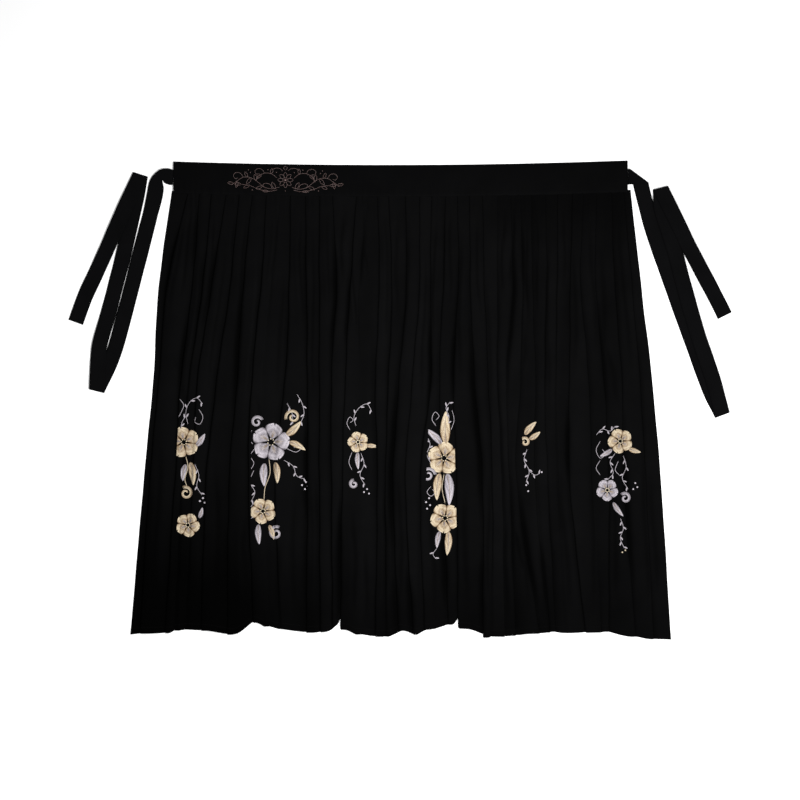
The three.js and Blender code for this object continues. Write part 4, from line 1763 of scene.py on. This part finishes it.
@dataclass
class Embroidery:
    """The stitched patches on the folds, with blossoms, leaves, curls, tendrils and berries.

    They lie between the highest and the lowest share of the way from the band to the hem.
    """

    cloth: SkirtCloth
    cover: Cover
    gap: float = 0.15
    highest: float = 0.45
    lowest: float = 0.85
    hem: float = -465

    def fold_plane(self, index: int) -> tuple[Vector, Vector]:
        """Works out the upright plane along a fold's outer edge, over the part where the patches lie.

        Args:
            index: The fold's number.

        Returns:
            A point on the edge, in metres, and the direction across it to the right.
        """
        high, low = self.cloth.beside(index, np.array([self.highest, self.lowest]))
        top = BAND.middle - BAND.height / 2
        run = np.array([high - low, (self.lowest - self.highest) * (top - self.hem)])
        across = unit(np.array([run[1], -run[0]]))
        y = top - self.highest * (top - self.hem)
        return Vector((high * MM, y * MM, 0)), Vector((across[0], across[1], 0))

    def cut_patch(self, patch: Patch, mesh: bpy.types.Mesh) -> None:
        """Cuts a patch's mesh off at its two folds, and closes what the cuts have opened.

        Args:
            patch: The patch.
            mesh: Its mesh, which is changed.
        """
        cut = bmesh.new()
        cut.from_mesh(mesh)
        for fold, sign in ((patch.first_fold, -1), (patch.last_fold, 1)):
            place, across = self.fold_plane(fold)
            everything = cut.verts[:] + cut.edges[:] + cut.faces[:]
            bmesh.ops.bisect_plane(
                cut, geom=everything, plane_co=place, plane_no=across * sign, clear_outer=True, dist=1e-6
            )
            open_edges = [edge for edge in cut.edges if edge.is_boundary]
            bmesh.ops.holes_fill(cut, edges=open_edges, sides=0)
        cut.to_mesh(mesh)
        cut.free()

    def build(self, finishes: dict[Tone, bpy.types.Material]) -> list[bpy.types.Object]:
        """Stitches every patch, cuts it off at its folds and lays it on the cloth, one piece for a thread.

        Args:
            finishes: The thread finishes.

        Returns:
            The pieces.
        """
        pieces = []
        for tone in (Tone.GOLD, Tone.SILVER):
            whole = bmesh.new()
            for number, patch in enumerate(PATCHES):
                forms = [form for motif in patch.motifs for form in motif.forms().get(tone, [])]
                part = make_piece(f"{tone.value}_{number}", join(forms), finishes[tone])
                self.cut_patch(patch, part.data)
                whole.from_mesh(part.data)
                bpy.data.objects.remove(part)
            mesh = bpy.data.meshes.new(f"embroidery_{tone.name.lower()}")
            whole.to_mesh(mesh)
            whole.free()
            mesh.materials.append(finishes[tone])
            self.drape(mesh)
            mesh.shade_smooth()
            piece = put(mesh.name, mesh)
            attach(piece, ROOT)
            pieces.append(piece)
        return pieces

    def drape(self, mesh: bpy.types.Mesh) -> None:
        """Raises every point by the height of the cloth beneath it.

        Args:
            mesh: The mesh, which is changed.
        """
        points = np.empty(len(mesh.vertices) * 3)
        mesh.vertices.foreach_get("co", points)
        points = points.reshape(-1, 3)
        points[:, 2] += (self.cover.read(points[:, 0] / MM, points[:, 1] / MM) + self.gap) * MM
        mesh.vertices.foreach_set("co", points.ravel())
        mesh.update()


@dataclass
class BandOrnament:
    """A line-stitched leaf scroll on both sides of a small rosette, near the left end of the band.

    The lines of its right half are given from its middle: across, and up from the band's centre line.
    """

    band: Waistband
    middle: float = -229
    thickness: float = 0.62
    petals: int = 8
    gap: float = 0.1
    lines: list[list[tuple[float, float]]] = field(default_factory=lambda: [
        [(12, -14), (26, -18), (42, -15), (55, -5), (68, 3), (84, 4), (97, -4), (108, -12)],
        [(16, -20), (34, -23), (54, -19), (72, -12), (88, -10)],
        [(17, 4), (28, 12), (42, 13), (54, 6), (60, -3)],
        [(42, 13), (46, 20), (55, 22), (61, 17), (58, 11), (52, 12)],
        [(84, 4), (90, 12), (99, 13), (104, 7), (100, 1), (94, 3)],
        [(26, -18), (30, -10), (39, -7), (45, -10), (42, -15)],
        [(5, 18), (12, 23), (21, 23), (28, 19)],
        [(0, 20), (4, 24), (0, 28)],
    ])
    leaves: list[tuple[float, float, float, float, float]] = field(default_factory=lambda: [
        (20, -18, 62, 15, 6), (46, -13, -24, 14, 5), (58, -3, 76, 14, 6), (68, 3, -50, 15, 6),
        (76, 4, 66, 12, 5), (96, -4, -80, 13, 5), (104, -9, 8, 12, 5), (34, -23, 4, 12, 4),
        (72, -12, -24, 13, 5),
        (28, 12, 96, 11, 5), (48, 10, -38, 12, 5), (88, -10, 2, 14, 5),
    ])
    dots: list[tuple[float, float]] = field(default_factory=lambda: [
        (18, 15), (35, 20), (70, 14), (74, 19), (111, -6), (66, -21), (0, -22),
    ])

    @staticmethod
    def outline(root: np.ndarray, turn: float, length: float, width: float) -> list[tuple[float, float]]:
        """Draws a leaf's outline, which is half the width times sin(π·u)^0.8 from its middle on each side.

        Args:
            root: Where the leaf starts.
            turn: Its heading in degrees.
            length: Its length.
            width: Its greatest width.

        Returns:
            The outline's points, from its root round to its root.
        """
        u = np.concatenate([np.linspace(0, 1, 8), np.linspace(1, 0, 8)[1:]])
        side = np.repeat([1, -1], [8, 7]) * width / 2 * np.sin(np.pi * u) ** 0.8
        points = root + length * u[:, None] * heading(turn) + side[:, None] * heading(turn + 90)
        return points.tolist()

    def strokes(self) -> list[Form]:
        """Draws all the lines and knots.

        Returns:
            Their forms, from the ornament's middle.
        """
        turns = [90 + 360 / self.petals * k for k in range(self.petals)]
        drawn = [self.outline(heading(turn) * 3.5, turn, 12, 7) for turn in turns]
        for sign in (1, -1):
            half = [*self.lines]
            for x, y, turn, length, width in self.leaves:
                half.append(self.outline(np.array([x, y]), turn, length, width))
            drawn += [[(sign * x, y) for x, y in line] for line in half]
        made = [drawn_line(line, self.thickness, 0.75) for line in drawn]
        made.append(knot((0, 0), 2.2))
        made += [knot((sign * x, y), 0.9) for x, y in self.dots for sign in (1, -1)]
        return made

    def build(self, finish: bpy.types.Material) -> bpy.types.Object:
        """Stitches the ornament on the band's upper face.

        Args:
            finish: The thread's finish.

        Returns:
            The piece.
        """
        form = join(self.strokes())
        x = form.points[:, 0] + self.middle
        offset = form.points[:, 1]
        height = form.points[:, 2] + self.band.top(x, offset) + self.gap
        form.points = np.stack([x, BAND.line(x, offset), height], axis=1)
        piece = make_piece("band_ornament", form, finish)
        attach(piece, ROOT)
        return piece


@dataclass
class Studio:
    """A pale floor, soft light from all sides, and a camera that looks straight down.

    A large lamp hangs off the lower right corner, and a small one low over the middle, for a pool of light.
    """

    camera_height: float = 4.444
    lens: float = 100
    sensor: float = 36
    floor: float = 30
    sky: float = 0.55

    def build(self) -> None:
        """Makes the floor, the lights and the camera."""
        half = self.floor / 2
        corners = [(-half, -half, 0), (half, -half, 0), (half, half, 0), (-half, half, 0)]
        mesh = bpy.data.meshes.new("floor")
        mesh.from_pydata(corners, [], [(0, 1, 2, 3)])
        mesh.materials.append(FloorFinish().make())
        ground = put("floor", mesh)
        self.lamp("key", (1.8, -1.3, 2.45), 1.1, 90)
        self.lamp("pool", (0.06, -0.03, 0.75), 0.5, 8.5)
        world = bpy.data.worlds.new("studio")
        world.use_nodes = True
        light = {"Color": (1, 1, 1, 1), "Strength": self.sky}
        Link(world.node_tree).feed(world.node_tree.nodes["Background"], light)
        bpy.context.scene.world = world
        bpy.context.scene.view_settings.view_transform = "Standard"
        camera = bpy.data.cameras.new("camera")
        camera.lens = self.lens
        camera.sensor_width = self.sensor
        eye = put("camera", camera)
        eye.location = (0, 0, self.camera_height)
        bpy.context.scene.camera = eye

    def lamp(self, name: str, place: tuple[float, float, float], size: float, watts: float) -> None:
        """Hangs a square lamp that faces the middle of the floor.

        Args:
            name: The lamp's name.
            place: Where it hangs, in metres.
            size: Its side, in metres.
            watts: Its power.
        """
        light = bpy.data.lights.new(name, "AREA")
        light.size = size
        light.energy = watts
        hung = put(name, light)
        hung.location = place
        hung.visible_camera = False
        hung.rotation_mode = "QUATERNION"
        hung.rotation_quaternion = (-Vector(place)).to_track_quat("-Z", "Y")


# The cloths of the skirt, the band and the ties: the colours of their faces and of the painted shade in
# their hollows.
CLOTHS = [
    ClothFinish("skirt_cloth_finish", (0.0017, 0.0017, 0.0018), (0.0001, 0.0001, 0.0001)),
    ClothFinish("band_cloth_finish", (0.0014, 0.0014, 0.0015), (0.0004, 0.0004, 0.0004)),
    ClothFinish("tie_cloth_finish", (0.0021, 0.0021, 0.0023), (0.0006, 0.0006, 0.0007)),
]
BLACK_THREAD = ThreadFinish(
    "black_thread_finish", (0.0012, 0.0012, 0.0013), (0.0026, 0.0026, 0.0028),
    sheen=0.004, roughness=0.7, gloss=0.03,
)
THREADS = {
    Tone.GOLD: ThreadFinish("gold_thread_finish", (0.11, 0.055, 0.014), (0.46, 0.39, 0.27)),
    Tone.SILVER: ThreadFinish("silver_thread_finish", (0.06, 0.05, 0.06), (0.37, 0.34, 0.37)),
    Tone.BRONZE: ThreadFinish("bronze_thread_finish", (0.035, 0.018, 0.015), (0.085, 0.045, 0.04)),
}


def main() -> None:
    """Builds the skirt piece by piece, and reports each one."""
    logging.basicConfig(level=logging.INFO, format="%(message)s")
    Studio().build()
    weave = weave_group()
    stitch = stitch_group()
    skirt_cloth, band_cloth, tie_cloth = (finish.make(weave) for finish in CLOTHS)
    black = BLACK_THREAD.make(stitch)
    threads = {tone: finish.make(stitch) for tone, finish in THREADS.items()}
    cloth = SkirtCloth()
    pieces = [cloth.build(width, skirt_cloth) for width in Width]
    pieces.append(cloth.sew(black))
    cover = Cover(list(cloth.grids.values()), cloth.wall)
    pieces += Embroidery(cloth, cover).build(threads)
    band = Waistband()
    pieces += band.build(band_cloth, black)
    pieces.append(BandOrnament(band).build(threads[Tone.BRONZE]))
    for tie in (LEFT_TIE, RIGHT_TIE):
        pieces += tie.build(tie_cloth, black)
    for piece in pieces:
        LOG.info("%s: %d faces", piece.name, len(piece.data.polygons))


if __name__ == "__main__":
    main()
